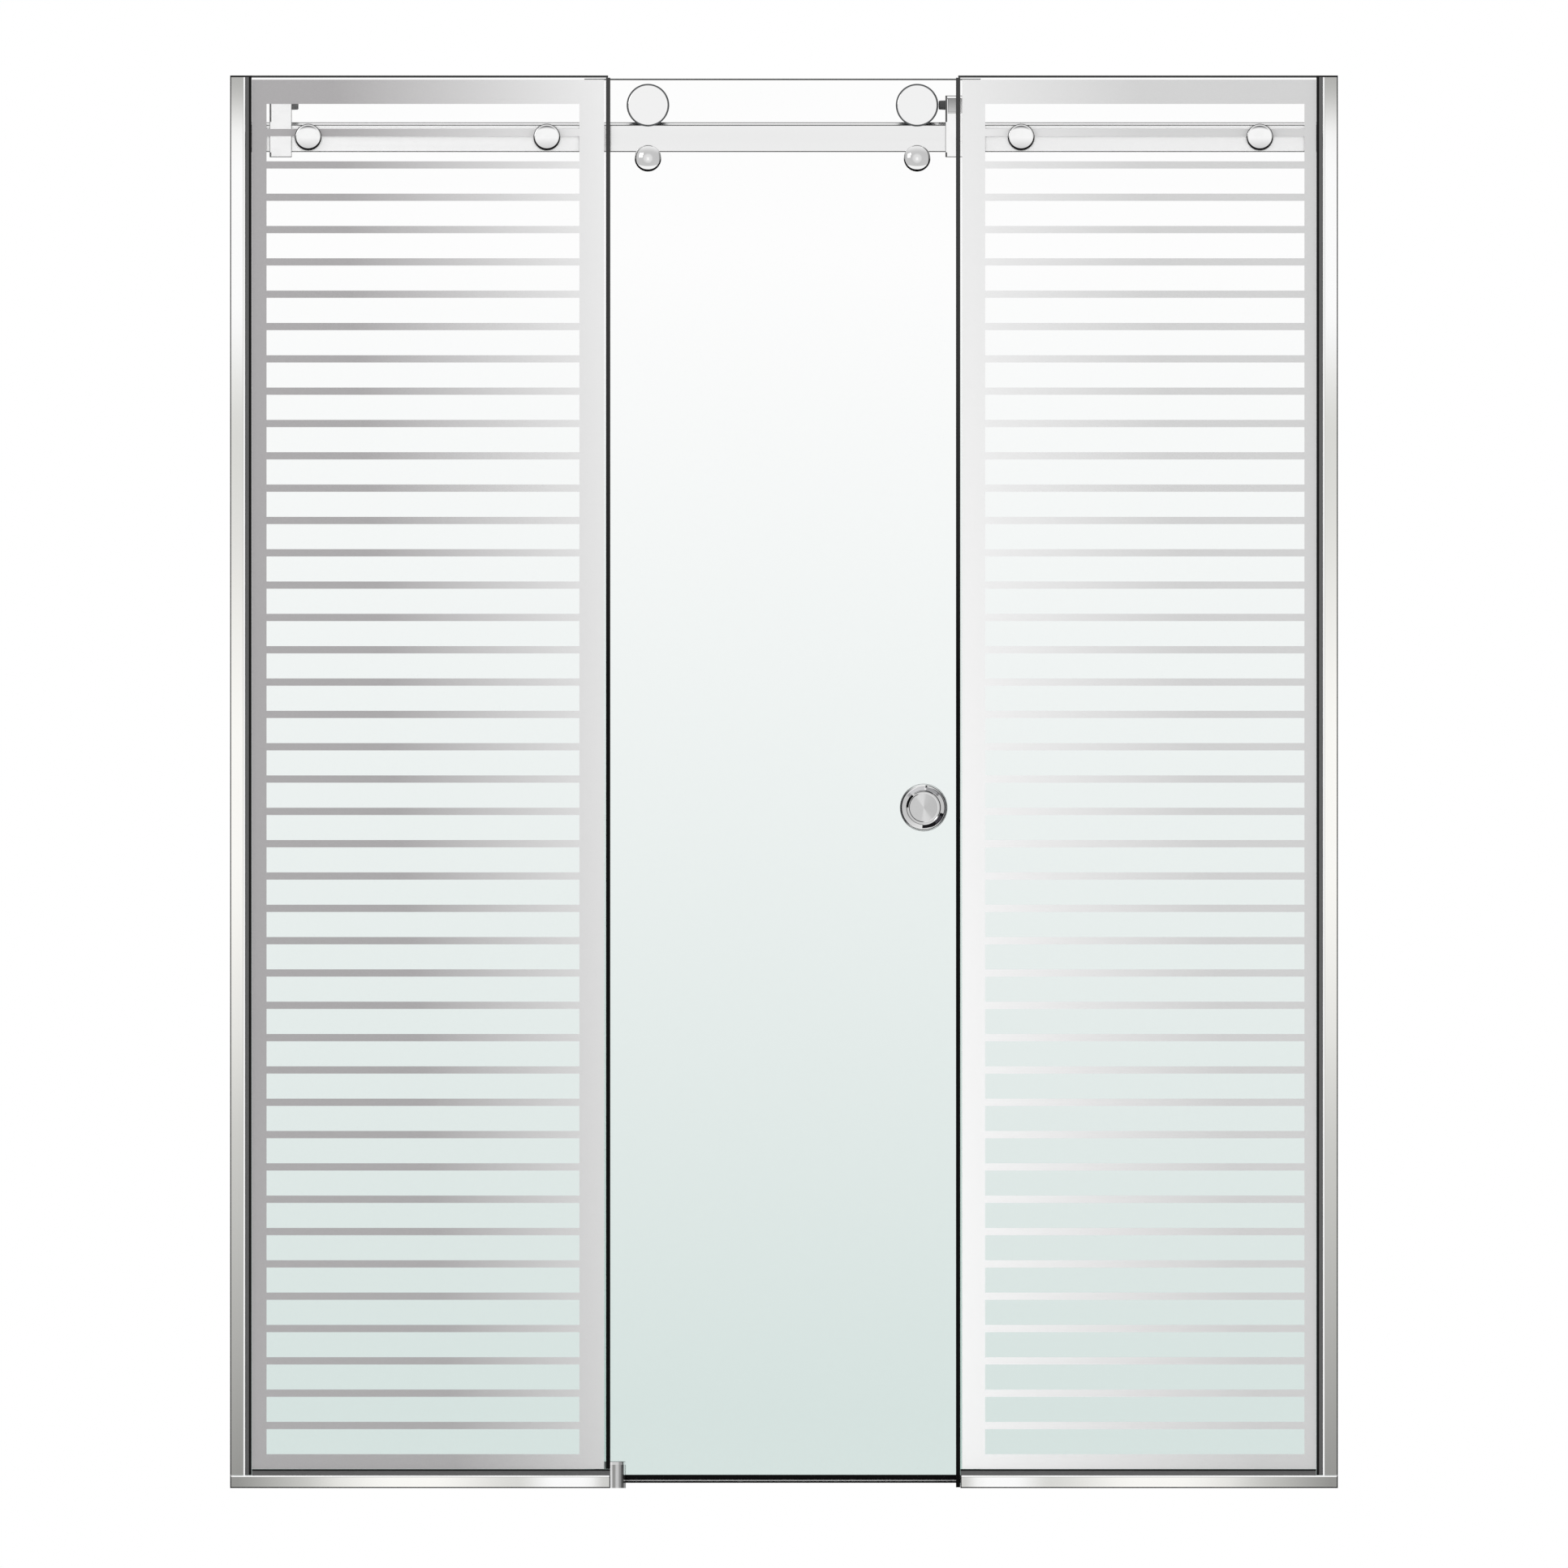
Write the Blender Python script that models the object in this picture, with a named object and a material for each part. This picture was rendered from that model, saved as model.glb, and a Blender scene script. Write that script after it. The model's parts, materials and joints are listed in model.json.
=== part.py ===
"""Alcove shower screen: two fixed glass panels stand in wall profiles and sill channels, and a glass
door hangs behind them on two grooved rollers that run along a rail between the glass planes.

Metres, +Z up, the bathroom side towards -Y. The origin is the bottom centre of the whole screen.
Depths are worked out from the rail's centre plane, and the root empty then centres the screen.
"""

import math

import bmesh
import bpy

# The whole screen
OVERALL_WIDTH = 1.490
OVERALL_HEIGHT = 1.900
GLASS_THICKNESS = 0.008
GLASS_ARRIS = 0.0008
SIDES = {"left": -1, "right": 1}

# Clearances
FIT_GAP = 0.0003
CUT_OVERRUN = 0.002
MERGE_DISTANCE = 0.000002

# Wall profiles and sill channels
PROFILE_DEPTH = 0.020
PROFILE_FACE = 0.0204
PROFILE_WALL = 0.002
PROFILE_EDGE = 0.0005
SILL_FACE = 0.017
BEAD_HEIGHT = 0.0006
BEAD_WIDTH = 0.0012
BEAD_INSET = 0.0025
WALL_SCREW_RADIUS = 0.0025
WALL_SCREW_SHARES = (0.1, 0.5, 0.9)
GASKET_WEB = 0.002
GASKET_REACH = 0.0085
GASKET_LIP = 0.0027
GASKET_LIP_THICKNESS = 0.0008

# Seals on the free edges of the fixed panels
EDGE_SEAL_NOSE = 0.003
EDGE_SEAL_COVER = 0.0028
EDGE_SEAL_WALL = 0.0012
EDGE_SEAL_ROUND = 0.001
SEAL_TOP_MARGIN = 0.003
SEAL_FLOOR_GAP = 0.001
FIN_THICKNESS = 0.0012
FIN_TIP_THICKNESS = 0.0008
FIN_RAIL_GAP = 0.012

# Frosted print on the fixed panels: a frame with stripes between its sides
PRINT_THICKNESS = 0.00025
PRINT_GAP = 0.0002
PRINT_TOP_MARGIN = 0.0056
PRINT_BOTTOM_MARGIN = 0.0003
PRINT_WALL_MARGIN = 0.0003
PRINT_FREE_MARGIN = 0.0025
PRINT_TOP_BAND = 0.0327
PRINT_BOTTOM_BAND = 0.0198
PRINT_WALL_BAND = {"left": 0.0198, "right": 0.0158}
PRINT_FREE_BAND = {"left": 0.0333, "right": 0.031}
STRIPE_HEIGHT = 0.0098
STRIPE_COUNT = 41

# Rail and its end brackets
RAIL_HEIGHT = 0.040
RAIL_THICKNESS = 0.012
RAIL_CHAMFER = 0.004
RAIL_DROP = 0.063
BRACKET_LENGTH = 0.020
BRACKET_BASE = 0.004
BRACKET_WALL = 0.003
BRACKET_PROFILE_GAP = 0.0017
BRACKET_SCREW_RADIUS = 0.0026
BRACKET_SCREW_HEAD = 0.005

# Fixings that carry the rail on the fixed glass
FIXING_FREE_MARGIN = {"left": 0.0854, "right": 0.0877}
FIXING_WALL_MARGIN = 0.105
FIXING_CAP_RADIUS = 0.0175
FIXING_CAP_DEPTH = 0.008
FIXING_CAP_ROUND = 0.0035
FIXING_SHANK_RADIUS = 0.0059
FIXING_SPACER_RADIUS = 0.009
FIXING_SCREW_RADIUS = 0.003
FIXING_SCREW_HEAD = 0.006
FIXING_SCREW_GRIP = 0.009

# Door
DOOR_WIDTH = 0.533
DOOR_OFFSET = -0.002
DOOR_OVERLAP = {"left": 0.0349, "right": 0.0332}
DOOR_TOP_GAP = 0.0043
SWEEP_CLEARANCE = 0.0017
SEAL_WALL = 0.0012
SEAL_CLIP_BASE = 0.0015
SEAL_CLIP_COVER = 0.004
SEAL_DROP = 0.007
SEAL_STEM_THICKNESS = 0.0016
SEAL_FOOT_WIDTH = 0.006
SEAL_FOOT_HEIGHT = 0.002
SEAL_END_INSET = 0.001
SIDE_SEAL_COVER = 0.008
SIDE_SEAL_START = 0.0033

# Rollers
ROLLER_INSET = 0.0855
TREAD_RADIUS = 0.0228
FLANGE_RADIUS = 0.0287
WHEEL_WIDTH = 0.019
WHEEL_CHAMFER = 0.0008
FLANGE_EASE = 0.0002
WHEEL_CLEARANCE = 0.002
WHEEL_CAP_RADIUS = 0.027
WHEEL_CAP_DEPTH = 0.0037
WHEEL_CAP_ROUND = 0.0012
WHEEL_CAP_PLUG = 0.0015
BEARING_RADIUS = 0.011
BEARING_WIDTH = 0.007
BEARING_INNER_RACE = 0.0015
BEARING_OUTER_RACE = 0.0018
BEARING_SHIELD_RECESS = 0.0008
AXLE_RADIUS = 0.004
AXLE_HEAD_RADIUS = 0.0065
AXLE_HEAD_DEPTH = 0.0035
AXLE_END_GAP = 0.0028
BUSH_WALL = 0.0016
HUB_SPACER_RADIUS = 0.0075
HUB_SPACER_CLEARANCE = 0.0008
HUB_FLANGE_RADIUS = 0.014
HUB_FLANGE_DEPTH = 0.0022
BACK_CAP_RADIUS = 0.0175
BACK_CAP_DEPTH = 0.0085
BACK_CAP_ROUND = 0.002

# Knobs that keep the door on its rail
SLEEVE_RADIUS = 0.0073
SLEEVE_RAIL_GAP = 0.0011
KNOB_RADIUS = 0.018
KNOB_BASE = 0.002
KNOB_GLASS_GAP = 0.0015
KNOB_RAIL_GAP = 0.0008
KNOB_BACK_RADIUS = 0.015

# Stops on the rail
STOP_WALL_MARGIN = 0.053
STOP_WIDTH = 0.030
STOP_RISE = 0.0129
STOP_FLOOR = 0.007
STOP_GLASS_GAP = 0.003
STOP_DOOR_GAP = 0.004
STOP_ROUND = 0.0025
STOP_RECESS_DEPTH = 0.002
STOP_RECESS_BORDER = 0.004
STOP_RECESS_HEIGHT = 0.018
STOP_SCREW_RADIUS = 0.003
BUMPER_LENGTH = 0.009
BUMPER_RADIUS = 0.006
BUMPER_ROUND = 0.0015
BUMPER_STEM_RADIUS = 0.003
BUMPER_STEM_LENGTH = 0.008

# Handle
HANDLE_RADIUS = 0.0315
HANDLE_EDGE = 0.0015
HANDLE_RIM_RADIUS = 0.027
HANDLE_RIM_WIDTH = 0.0015
HANDLE_PROUD = 0.006
HANDLE_DISC_RADIUS = 0.0185
HANDLE_GROOVE_WIDTH = 0.001
HANDLE_GROOVE_DEPTH = 0.0006
HANDLE_FLOOR_DEPTH = 0.002
HANDLE_SLEEVE_RADIUS = 0.0255
HANDLE_INSET = 0.0767
HANDLE_HEIGHT = 0.9153

# Floor guide
GUIDE_WIDTH = 0.0435
GUIDE_HEIGHT = 0.036
GUIDE_OFFSET = -0.001
GUIDE_BOW = 0.013
GUIDE_SILL_GAP = 0.0018
GUIDE_BACK_WALL = 0.005
GUIDE_BASE = 0.0035
GUIDE_ROUND = 0.0012
LINER_WALL = 0.0015
LINER_CLEARANCE = 0.0005
LINER_INSET = 0.001

# Facets
VISIBLE_SEGMENTS = 26
CAP_SEGMENTS = 22
HIDDEN_SEGMENTS = 12
ARC_STEPS = 3
BOW_STEPS = 14
SHARP_ANGLE = math.radians(35)

# Depths from the rail's centre plane, negative towards the bathroom
RAIL_FRONT = -RAIL_THICKNESS / 2
RAIL_BACK = RAIL_THICKNESS / 2
FIXED_MIDDLE = RAIL_FRONT - FIT_GAP - BRACKET_WALL - BRACKET_PROFILE_GAP - PROFILE_DEPTH / 2
FIXED_FRONT = FIXED_MIDDLE - GLASS_THICKNESS / 2
FIXED_BACK = FIXED_MIDDLE + GLASS_THICKNESS / 2
PRINT_BACK = FIXED_FRONT - PRINT_GAP
PRINT_FRONT = PRINT_BACK - PRINT_THICKNESS
FIXING_CAP_BACK = PRINT_FRONT - FIT_GAP
FIXING_CAP_FRONT = FIXING_CAP_BACK - FIXING_CAP_DEPTH
DOOR_FRONT = WHEEL_WIDTH / 2 + WHEEL_CLEARANCE + HUB_FLANGE_DEPTH + FIT_GAP
DOOR_MIDDLE = DOOR_FRONT + GLASS_THICKNESS / 2
DOOR_BACK = DOOR_FRONT + GLASS_THICKNESS
BACK_CAP_FRONT = DOOR_BACK + FIT_GAP
BACK_CAP_BACK = BACK_CAP_FRONT + BACK_CAP_DEPTH
SEAL_CLIP_DEPTH = GLASS_THICKNESS + 2 * (FIT_GAP + SEAL_WALL)
LINER_DEPTH = SEAL_CLIP_DEPTH + 2 * (LINER_CLEARANCE + LINER_WALL)
GUIDE_SLOT_DEPTH = LINER_DEPTH + 2 * FIT_GAP
GUIDE_FRONT = FIXED_MIDDLE + PROFILE_DEPTH / 2 + GUIDE_SILL_GAP
GUIDE_BACK = DOOR_MIDDLE + GUIDE_SLOT_DEPTH / 2 + GUIDE_BACK_WALL
HANDLE_BACK = DOOR_BACK + HANDLE_PROUD
SCREEN_FRONT = min(FIXING_CAP_FRONT, FIXED_MIDDLE - PROFILE_DEPTH / 2)
SCREEN_BACK = max(BACK_CAP_BACK, GUIDE_BACK, HANDLE_BACK)
CENTRING_SHIFT = -(SCREEN_FRONT + SCREEN_BACK) / 2

# Heights
RAIL_TOP = OVERALL_HEIGHT - RAIL_DROP
RAIL_BOTTOM = RAIL_TOP - RAIL_HEIGHT
RAIL_MIDDLE = (RAIL_TOP + RAIL_BOTTOM) / 2
AXLE_HEIGHT = RAIL_TOP + FIT_GAP + TREAD_RADIUS
KNOB_HEIGHT = RAIL_BOTTOM - SLEEVE_RAIL_GAP - SLEEVE_RADIUS
DOOR_BOTTOM = GUIDE_BASE + FIT_GAP + LINER_WALL + SWEEP_CLEARANCE + SEAL_DROP
DOOR_TOP = OVERALL_HEIGHT - DOOR_TOP_GAP
FIXED_BOTTOM = PROFILE_WALL + FIT_GAP + GASKET_WEB + FIT_GAP
SILL_GASKET_TOP = SILL_FACE + GASKET_REACH
FIN_TOP = RAIL_BOTTOM - FIN_RAIL_GAP
FIN_BOTTOM = SILL_GASKET_TOP + SIDE_SEAL_START

# Places across the screen
HALF_WIDTH = OVERALL_WIDTH / 2
DOOR_LEFT = DOOR_OFFSET - DOOR_WIDTH / 2
DOOR_RIGHT = DOOR_OFFSET + DOOR_WIDTH / 2
FREE_EDGE = {"left": -DOOR_LEFT - DOOR_OVERLAP["left"], "right": DOOR_RIGHT - DOOR_OVERLAP["right"]}
FIXING_DISTANCE = {
    side: {"inner": FREE_EDGE[side] + FIXING_FREE_MARGIN[side], "outer": HALF_WIDTH - FIXING_WALL_MARGIN}
    for side in SIDES
}
AXLE_X = {"left": DOOR_LEFT + ROLLER_INSET, "right": DOOR_RIGHT - ROLLER_INSET}
STOP_REACH = FLANGE_RADIUS + FIT_GAP + BUMPER_LENGTH
STOP_FACE_X = {"left": STOP_WALL_MARGIN + STOP_WIDTH - HALF_WIDTH, "right": AXLE_X["right"] + STOP_REACH}
HANDLE_X = DOOR_RIGHT - HANDLE_INSET
GUIDE_X = GUIDE_OFFSET - FREE_EDGE["left"]


def clear_scene():
    for obj in list(bpy.data.objects):
        bpy.data.objects.remove(obj, do_unlink=True)


def finish_material(name, colour, roughness, metallic=0.0, transmission=0.0):
    material = bpy.data.materials.new(name)
    material.use_nodes = True
    shader = material.node_tree.nodes["Principled BSDF"]
    shader.inputs["Base Color"].default_value = (*colour, 1)
    shader.inputs["Roughness"].default_value = roughness
    shader.inputs["Metallic"].default_value = metallic
    shader.inputs["Transmission Weight"].default_value = transmission
    material.diffuse_color = (*colour, 1 - transmission / 2)
    return material


def make_materials():
    return {
        "clear_glass": finish_material("clear_glass", (0.86, 0.93, 0.91), 0.02, transmission=0.95),
        "frosted_print": finish_material("frosted_print", (0.70, 0.69, 0.69), 0.55),
        "polished_aluminium": finish_material("polished_aluminium", (0.83, 0.84, 0.83), 0.16, 1.0),
        "chrome": finish_material("chrome", (0.88, 0.88, 0.88), 0.05, 1.0),
        "brushed_steel": finish_material("brushed_steel", (0.74, 0.74, 0.73), 0.28, 1.0),
        "dark_gasket": finish_material("dark_gasket", (0.055, 0.055, 0.06), 0.6),
        "black_seal": finish_material("black_seal", (0.02, 0.02, 0.022), 0.45),
        "nylon": finish_material("nylon", (0.72, 0.73, 0.73), 0.4),
        "bearing_steel": finish_material("bearing_steel", (0.55, 0.55, 0.56), 0.25, 1.0),
    }


def holder(name, parent=None, location=(0, 0, 0)):
    """An empty that carries one moving group, with its origin on that group's axis."""
    empty = bpy.data.objects.new(name, None)
    empty.location = location
    empty.parent = parent
    bpy.context.scene.collection.objects.link(empty)
    return empty


def add_piece(name, bm, material, parent, location=(0, 0, 0), turn=0.0):
    """Turns a bmesh into a named object. turn is its rotation about Z."""
    bmesh.ops.recalc_face_normals(bm, faces=bm.faces)
    mesh = bpy.data.meshes.new(name)
    bm.to_mesh(mesh)
    bm.free()
    mesh.shade_smooth()
    mesh.set_sharp_from_angle(angle=SHARP_ANGLE)
    if material:
        mesh.materials.append(material)
    piece = bpy.data.objects.new(name, mesh)
    piece.location = location
    piece.rotation_euler = (0, 0, turn)
    piece.parent = parent
    bpy.context.scene.collection.objects.link(piece)
    return piece


def combine(piece, tool, operation="DIFFERENCE"):
    """Cuts the tool from the piece, or joins it to the piece, and hides the tool."""
    tool.hide_render = True
    tool.display_type = "WIRE"
    modifier = piece.modifiers.new(tool.name, "BOOLEAN")
    modifier.operation = operation
    modifier.object = tool


def ease_edges(piece, width, segments=1):
    modifier = piece.modifiers.new("eased_edges", "BEVEL")
    modifier.width = width
    modifier.segments = segments
    modifier.limit_method = "ANGLE"


def arc(centre, radius, start, end, steps=ARC_STEPS):
    """Points on an arc, with angles in degrees from the first axis towards the second."""
    angles = [math.radians(start + (end - start) * step / steps) for step in range(steps + 1)]
    return [(centre[0] + radius * math.cos(a), centre[1] + radius * math.sin(a)) for a in angles]


def turned(profile, segments=VISIBLE_SEGMENTS, ring=False):
    """Spins (radius, depth) points about Y. A ring's profile is a loop, and any other ends on the axis."""
    bm = bmesh.new()
    points = [bm.verts.new((radius, depth, 0)) for radius, depth in profile]
    ends = list(zip(points, points[1:])) + [(points[-1], points[0])] * ring
    edges = [bm.edges.new(pair) for pair in ends]
    bmesh.ops.spin(
        bm,
        geom=points + edges,
        cent=(0, 0, 0),
        axis=(0, 1, 0),
        angle=2 * math.pi,
        steps=segments,
        use_merge=True,
    )
    bmesh.ops.remove_doubles(bm, verts=bm.verts, dist=MERGE_DISTANCE)
    return bm


def extruded(outline, start, end, along):
    """A prism. The outline is (x, y) points along Z, or (y, z) points along X."""
    bm = bmesh.new()
    if along == "Z":
        corners = [(a, b, start) for a, b in outline]
        move = (0, 0, end - start)
    else:
        corners = [(start, a, b) for a, b in outline]
        move = (end - start, 0, 0)
    base = bm.faces.new([bm.verts.new(corner) for corner in corners])
    grown = bmesh.ops.extrude_face_region(bm, geom=[base])["geom"]
    moved = [item for item in grown if isinstance(item, bmesh.types.BMVert)]
    bmesh.ops.translate(bm, verts=moved, vec=move)
    return bm


def block(low, high):
    """A box between two corners."""
    outline = [(low[0], low[1]), (high[0], low[1]), (high[0], high[1]), (low[0], high[1])]
    return extruded(outline, low[2], high[2], "Z")


def join_loops(bm, first, second):
    """Joins two rings of as many points with a band of faces."""
    for at in range(len(first)):
        bm.faces.new((first[at - 1], first[at], second[at], second[at - 1]))


def drilled_panel(low, high, holes):
    """A glass panel with ground edges. Each hole is its (x, z), radius and number of facets."""
    bm = bmesh.new()
    left, right = sorted((low[0], high[0]))
    depths = [
        (low[1], GLASS_ARRIS),
        (low[1] + GLASS_ARRIS, 0),
        (high[1] - GLASS_ARRIS, 0),
        (high[1], GLASS_ARRIS),
    ]
    rims = []
    for y, inset in depths:
        corners = [
            (left + inset, y, low[2] + inset),
            (right - inset, y, low[2] + inset),
            (right - inset, y, high[2] - inset),
            (left + inset, y, high[2] - inset),
        ]
        rims.append([bm.verts.new(corner) for corner in corners])
    for outer, inner in zip(rims, rims[1:]):
        join_loops(bm, outer, inner)

    front_rings = [rims[0]]
    back_rings = [rims[-1]]
    for centre, radius, segments in holes:
        circle = arc(centre, radius, 0, 360, segments)[:-1]
        front_rings.append([bm.verts.new((x, low[1], z)) for x, z in circle])
        back_rings.append([bm.verts.new((x, high[1], z)) for x, z in circle])
        join_loops(bm, front_rings[-1], back_rings[-1])
    for rings in (front_rings, back_rings):
        edges = [bm.edges.get((ring[at - 1], ring[at])) for ring in rings for at in range(len(ring))]
        bmesh.ops.triangle_fill(bm, edges=edges, use_beauty=True)
    return bm


def drill(piece, parent, radius, place, start, end, across=False):
    """Cuts a round hole through a piece, along Y from start to end, or along X when across is set."""
    near = start - CUT_OVERRUN
    far = end + CUT_OVERRUN
    tool = turned([(0, near), (radius, near), (radius, far), (0, far)], HIDDEN_SEGMENTS)
    turn = -math.pi / 2 if across else 0
    number = len(piece.modifiers) + 1
    combine(piece, add_piece(f"{piece.name}_hole_{number}", tool, None, parent, place, turn))


def channel_outline(face):
    """A channel with beads that hold its gasket, as (distance from its web's outer face, offset from
    the glass's middle)."""
    outer = PROFILE_DEPTH / 2
    inner = outer - PROFILE_WALL
    bead_end = face - BEAD_INSET
    bead_start = bead_end - BEAD_WIDTH
    half = [
        (0, outer - PROFILE_EDGE),
        (PROFILE_EDGE, outer),
        (face - PROFILE_EDGE, outer),
        (face, outer - PROFILE_EDGE),
        (face, inner),
        (bead_end, inner),
        (bead_end, inner - BEAD_HEIGHT),
        (bead_start, inner - BEAD_HEIGHT),
        (bead_start - BEAD_HEIGHT, inner),
        (PROFILE_WALL, inner),
    ]
    return half + [(a, -b) for a, b in reversed(half)]


def gasket_outline(face, reach):
    """The rubber that wraps the glass edge inside a channel and shows past its mouth."""
    outer = PROFILE_DEPTH / 2 - PROFILE_WALL - FIT_GAP
    inner = GLASS_THICKNESS / 2 + FIT_GAP
    notch = BEAD_HEIGHT + FIT_GAP
    bead_end = face - BEAD_INSET + FIT_GAP
    bead_start = bead_end - BEAD_WIDTH - notch - FIT_GAP
    tip = face + reach
    half = [
        (PROFILE_WALL + FIT_GAP, outer),
        (bead_start, outer),
        (bead_start + notch, outer - notch),
        (bead_end, outer - notch),
        (bead_end, outer),
        (tip - GASKET_LIP, outer),
        (tip - GASKET_LIP, inner + 2 * GASKET_LIP_THICKNESS),
        (tip, inner + GASKET_LIP_THICKNESS),
        (tip, inner),
        (PROFILE_WALL + FIT_GAP + GASKET_WEB, inner),
    ]
    return half + [(a, -b) for a, b in reversed(half)]


def wall_profile(side, materials, parent):
    sign = SIDES[side]
    outline = [(sign * (HALF_WIDTH - a), FIXED_MIDDLE + b) for a, b in channel_outline(PROFILE_FACE)]
    start = SILL_FACE + FIT_GAP
    profile = add_piece(
        f"wall_profile_{side}",
        extruded(outline, start, OVERALL_HEIGHT, "Z"),
        materials["polished_aluminium"],
        parent,
    )
    for share in WALL_SCREW_SHARES:
        place = (sign * HALF_WIDTH, FIXED_MIDDLE, start + share * (OVERALL_HEIGHT - start))
        drill(profile, parent, WALL_SCREW_RADIUS, place, -PROFILE_WALL, PROFILE_WALL, across=True)

    outline = gasket_outline(PROFILE_FACE, GASKET_REACH)
    outline = [(sign * (HALF_WIDTH - a), FIXED_MIDDLE + b) for a, b in outline]
    add_piece(
        f"wall_gasket_{side}",
        extruded(outline, start, OVERALL_HEIGHT, "Z"),
        materials["dark_gasket"],
        parent,
    )


def sill(side, materials, parent):
    """The channel under the panel. The right one stops beside the edge seal, which runs to the floor."""
    sign = SIDES[side]
    beside_seal = EDGE_SEAL_NOSE + EDGE_SEAL_COVER + FIT_GAP if side == "right" else 0
    free_end = sign * (FREE_EDGE[side] + beside_seal)
    outline = [(FIXED_MIDDLE + b, a) for a, b in channel_outline(SILL_FACE)]
    add_piece(
        f"sill_channel_{side}",
        extruded(outline, sign * HALF_WIDTH, free_end, "X"),
        materials["polished_aluminium"],
        parent,
    )
    wall_end = sign * (HALF_WIDTH - PROFILE_FACE - GASKET_REACH - FIT_GAP)
    reach = SILL_GASKET_TOP - SILL_FACE
    outline = [(FIXED_MIDDLE + b, a) for a, b in gasket_outline(SILL_FACE, reach)]
    gasket = extruded(outline, wall_end, free_end, "X")
    add_piece(f"sill_gasket_{side}", gasket, materials["dark_gasket"], parent)


def fixed_glass(side, materials, parent):
    sign = SIDES[side]
    wall_edge = sign * (HALF_WIDTH - FIXED_BOTTOM)
    free_edge = sign * (FREE_EDGE[side] + EDGE_SEAL_NOSE)
    hole = FIXING_SHANK_RADIUS + FIT_GAP
    holes = [
        ((sign * distance, RAIL_MIDDLE), hole, HIDDEN_SEGMENTS)
        for distance in FIXING_DISTANCE[side].values()
    ]
    low = (wall_edge, FIXED_FRONT, FIXED_BOTTOM)
    high = (free_edge, FIXED_BACK, OVERALL_HEIGHT)
    panel = drilled_panel(low, high, holes)
    add_piece(f"fixed_glass_{side}", panel, materials["clear_glass"], parent)


def stripe_levels(bottom, top):
    """The heights where the print changes, from the bottom up, spaced evenly between its two bands."""
    window = (top - bottom - STRIPE_COUNT * STRIPE_HEIGHT) / (STRIPE_COUNT + 1)
    levels = [bottom]
    for _ in range(STRIPE_COUNT):
        levels += [levels[-1] + window, levels[-1] + window + STRIPE_HEIGHT]
    return levels + [top]


def frosted_print(side, materials, parent):
    """A thin enamel skin: a rectangular frame joined across by narrow stripes, with clear windows between."""
    sign = SIDES[side]
    wall_edge = HALF_WIDTH - PROFILE_FACE - GASKET_REACH - PRINT_WALL_MARGIN
    free_edge = FREE_EDGE[side] + EDGE_SEAL_NOSE + EDGE_SEAL_COVER + PRINT_FREE_MARGIN
    columns = [free_edge, free_edge + PRINT_FREE_BAND[side], wall_edge - PRINT_WALL_BAND[side], wall_edge]
    low = SILL_GASKET_TOP + PRINT_BOTTOM_MARGIN
    high = OVERALL_HEIGHT - PRINT_TOP_MARGIN
    rows = [low, *stripe_levels(low + PRINT_BOTTOM_BAND, high - PRINT_TOP_BAND), high]

    bm = bmesh.new()
    grid = [[bm.verts.new((sign * x, PRINT_FRONT, z)) for x in columns] for z in rows]
    for row, (lower, upper) in enumerate(zip(grid, grid[1:])):
        is_window_row = row % 2 == 1
        for column in range(len(columns) - 1):
            if is_window_row and column == 1:
                continue
            bm.faces.new((lower[column], lower[column + 1], upper[column + 1], upper[column]))
    grown = bmesh.ops.extrude_face_region(bm, geom=list(bm.faces))["geom"]
    moved = [item for item in grown if isinstance(item, bmesh.types.BMVert)]
    bmesh.ops.translate(bm, verts=moved, vec=(0, PRINT_THICKNESS, 0))
    skin = add_piece(f"frosted_print_{side}", bm, materials["frosted_print"], parent)
    for distance in FIXING_DISTANCE[side].values():
        place = (sign * distance, 0, RAIL_MIDDLE)
        drill(skin, parent, FIXING_SHANK_RADIUS + FIT_GAP, place, PRINT_FRONT, PRINT_BACK)


def edge_seal(side, materials, parent):
    """A clip with a rounded nose on the free edge. The right one has a fin that meets the closed door."""
    sign = SIDES[side]
    nose = FREE_EDGE[side]
    glass_edge = nose + EDGE_SEAL_NOSE
    leg_end = glass_edge + EDGE_SEAL_COVER
    inner = GLASS_THICKNESS / 2 + FIT_GAP
    outer = inner + EDGE_SEAL_WALL
    round_centre = (nose + EDGE_SEAL_ROUND, outer - EDGE_SEAL_ROUND)
    half = [
        *arc(round_centre, EDGE_SEAL_ROUND, 180, 90),
        (leg_end, outer),
        (leg_end, inner),
        (glass_edge - FIT_GAP, inner),
    ]
    outline = half + [(a, -b) for a, b in reversed(half)]
    outline = [(sign * a, FIXED_MIDDLE + b) for a, b in outline]
    start = SILL_GASKET_TOP + FIT_GAP if side == "left" else SEAL_FLOOR_GAP
    seal = add_piece(
        f"edge_seal_{side}",
        extruded(outline, start, OVERALL_HEIGHT - SEAL_TOP_MARGIN, "Z"),
        materials["black_seal"],
        parent,
    )
    if side == "left":
        return
    root = FIXED_MIDDLE + outer - EDGE_SEAL_WALL / 2
    tip = DOOR_FRONT - FIT_GAP
    fin_edge = glass_edge
    fin_outline = [
        (sign * fin_edge, root),
        (sign * (fin_edge + FIN_THICKNESS), root),
        (sign * (fin_edge + FIN_TIP_THICKNESS), tip),
        (sign * fin_edge, tip),
    ]
    fin = add_piece("edge_seal_fin", extruded(fin_outline, FIN_BOTTOM, FIN_TOP, "Z"), None, parent)
    combine(seal, fin, "UNION")


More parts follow.
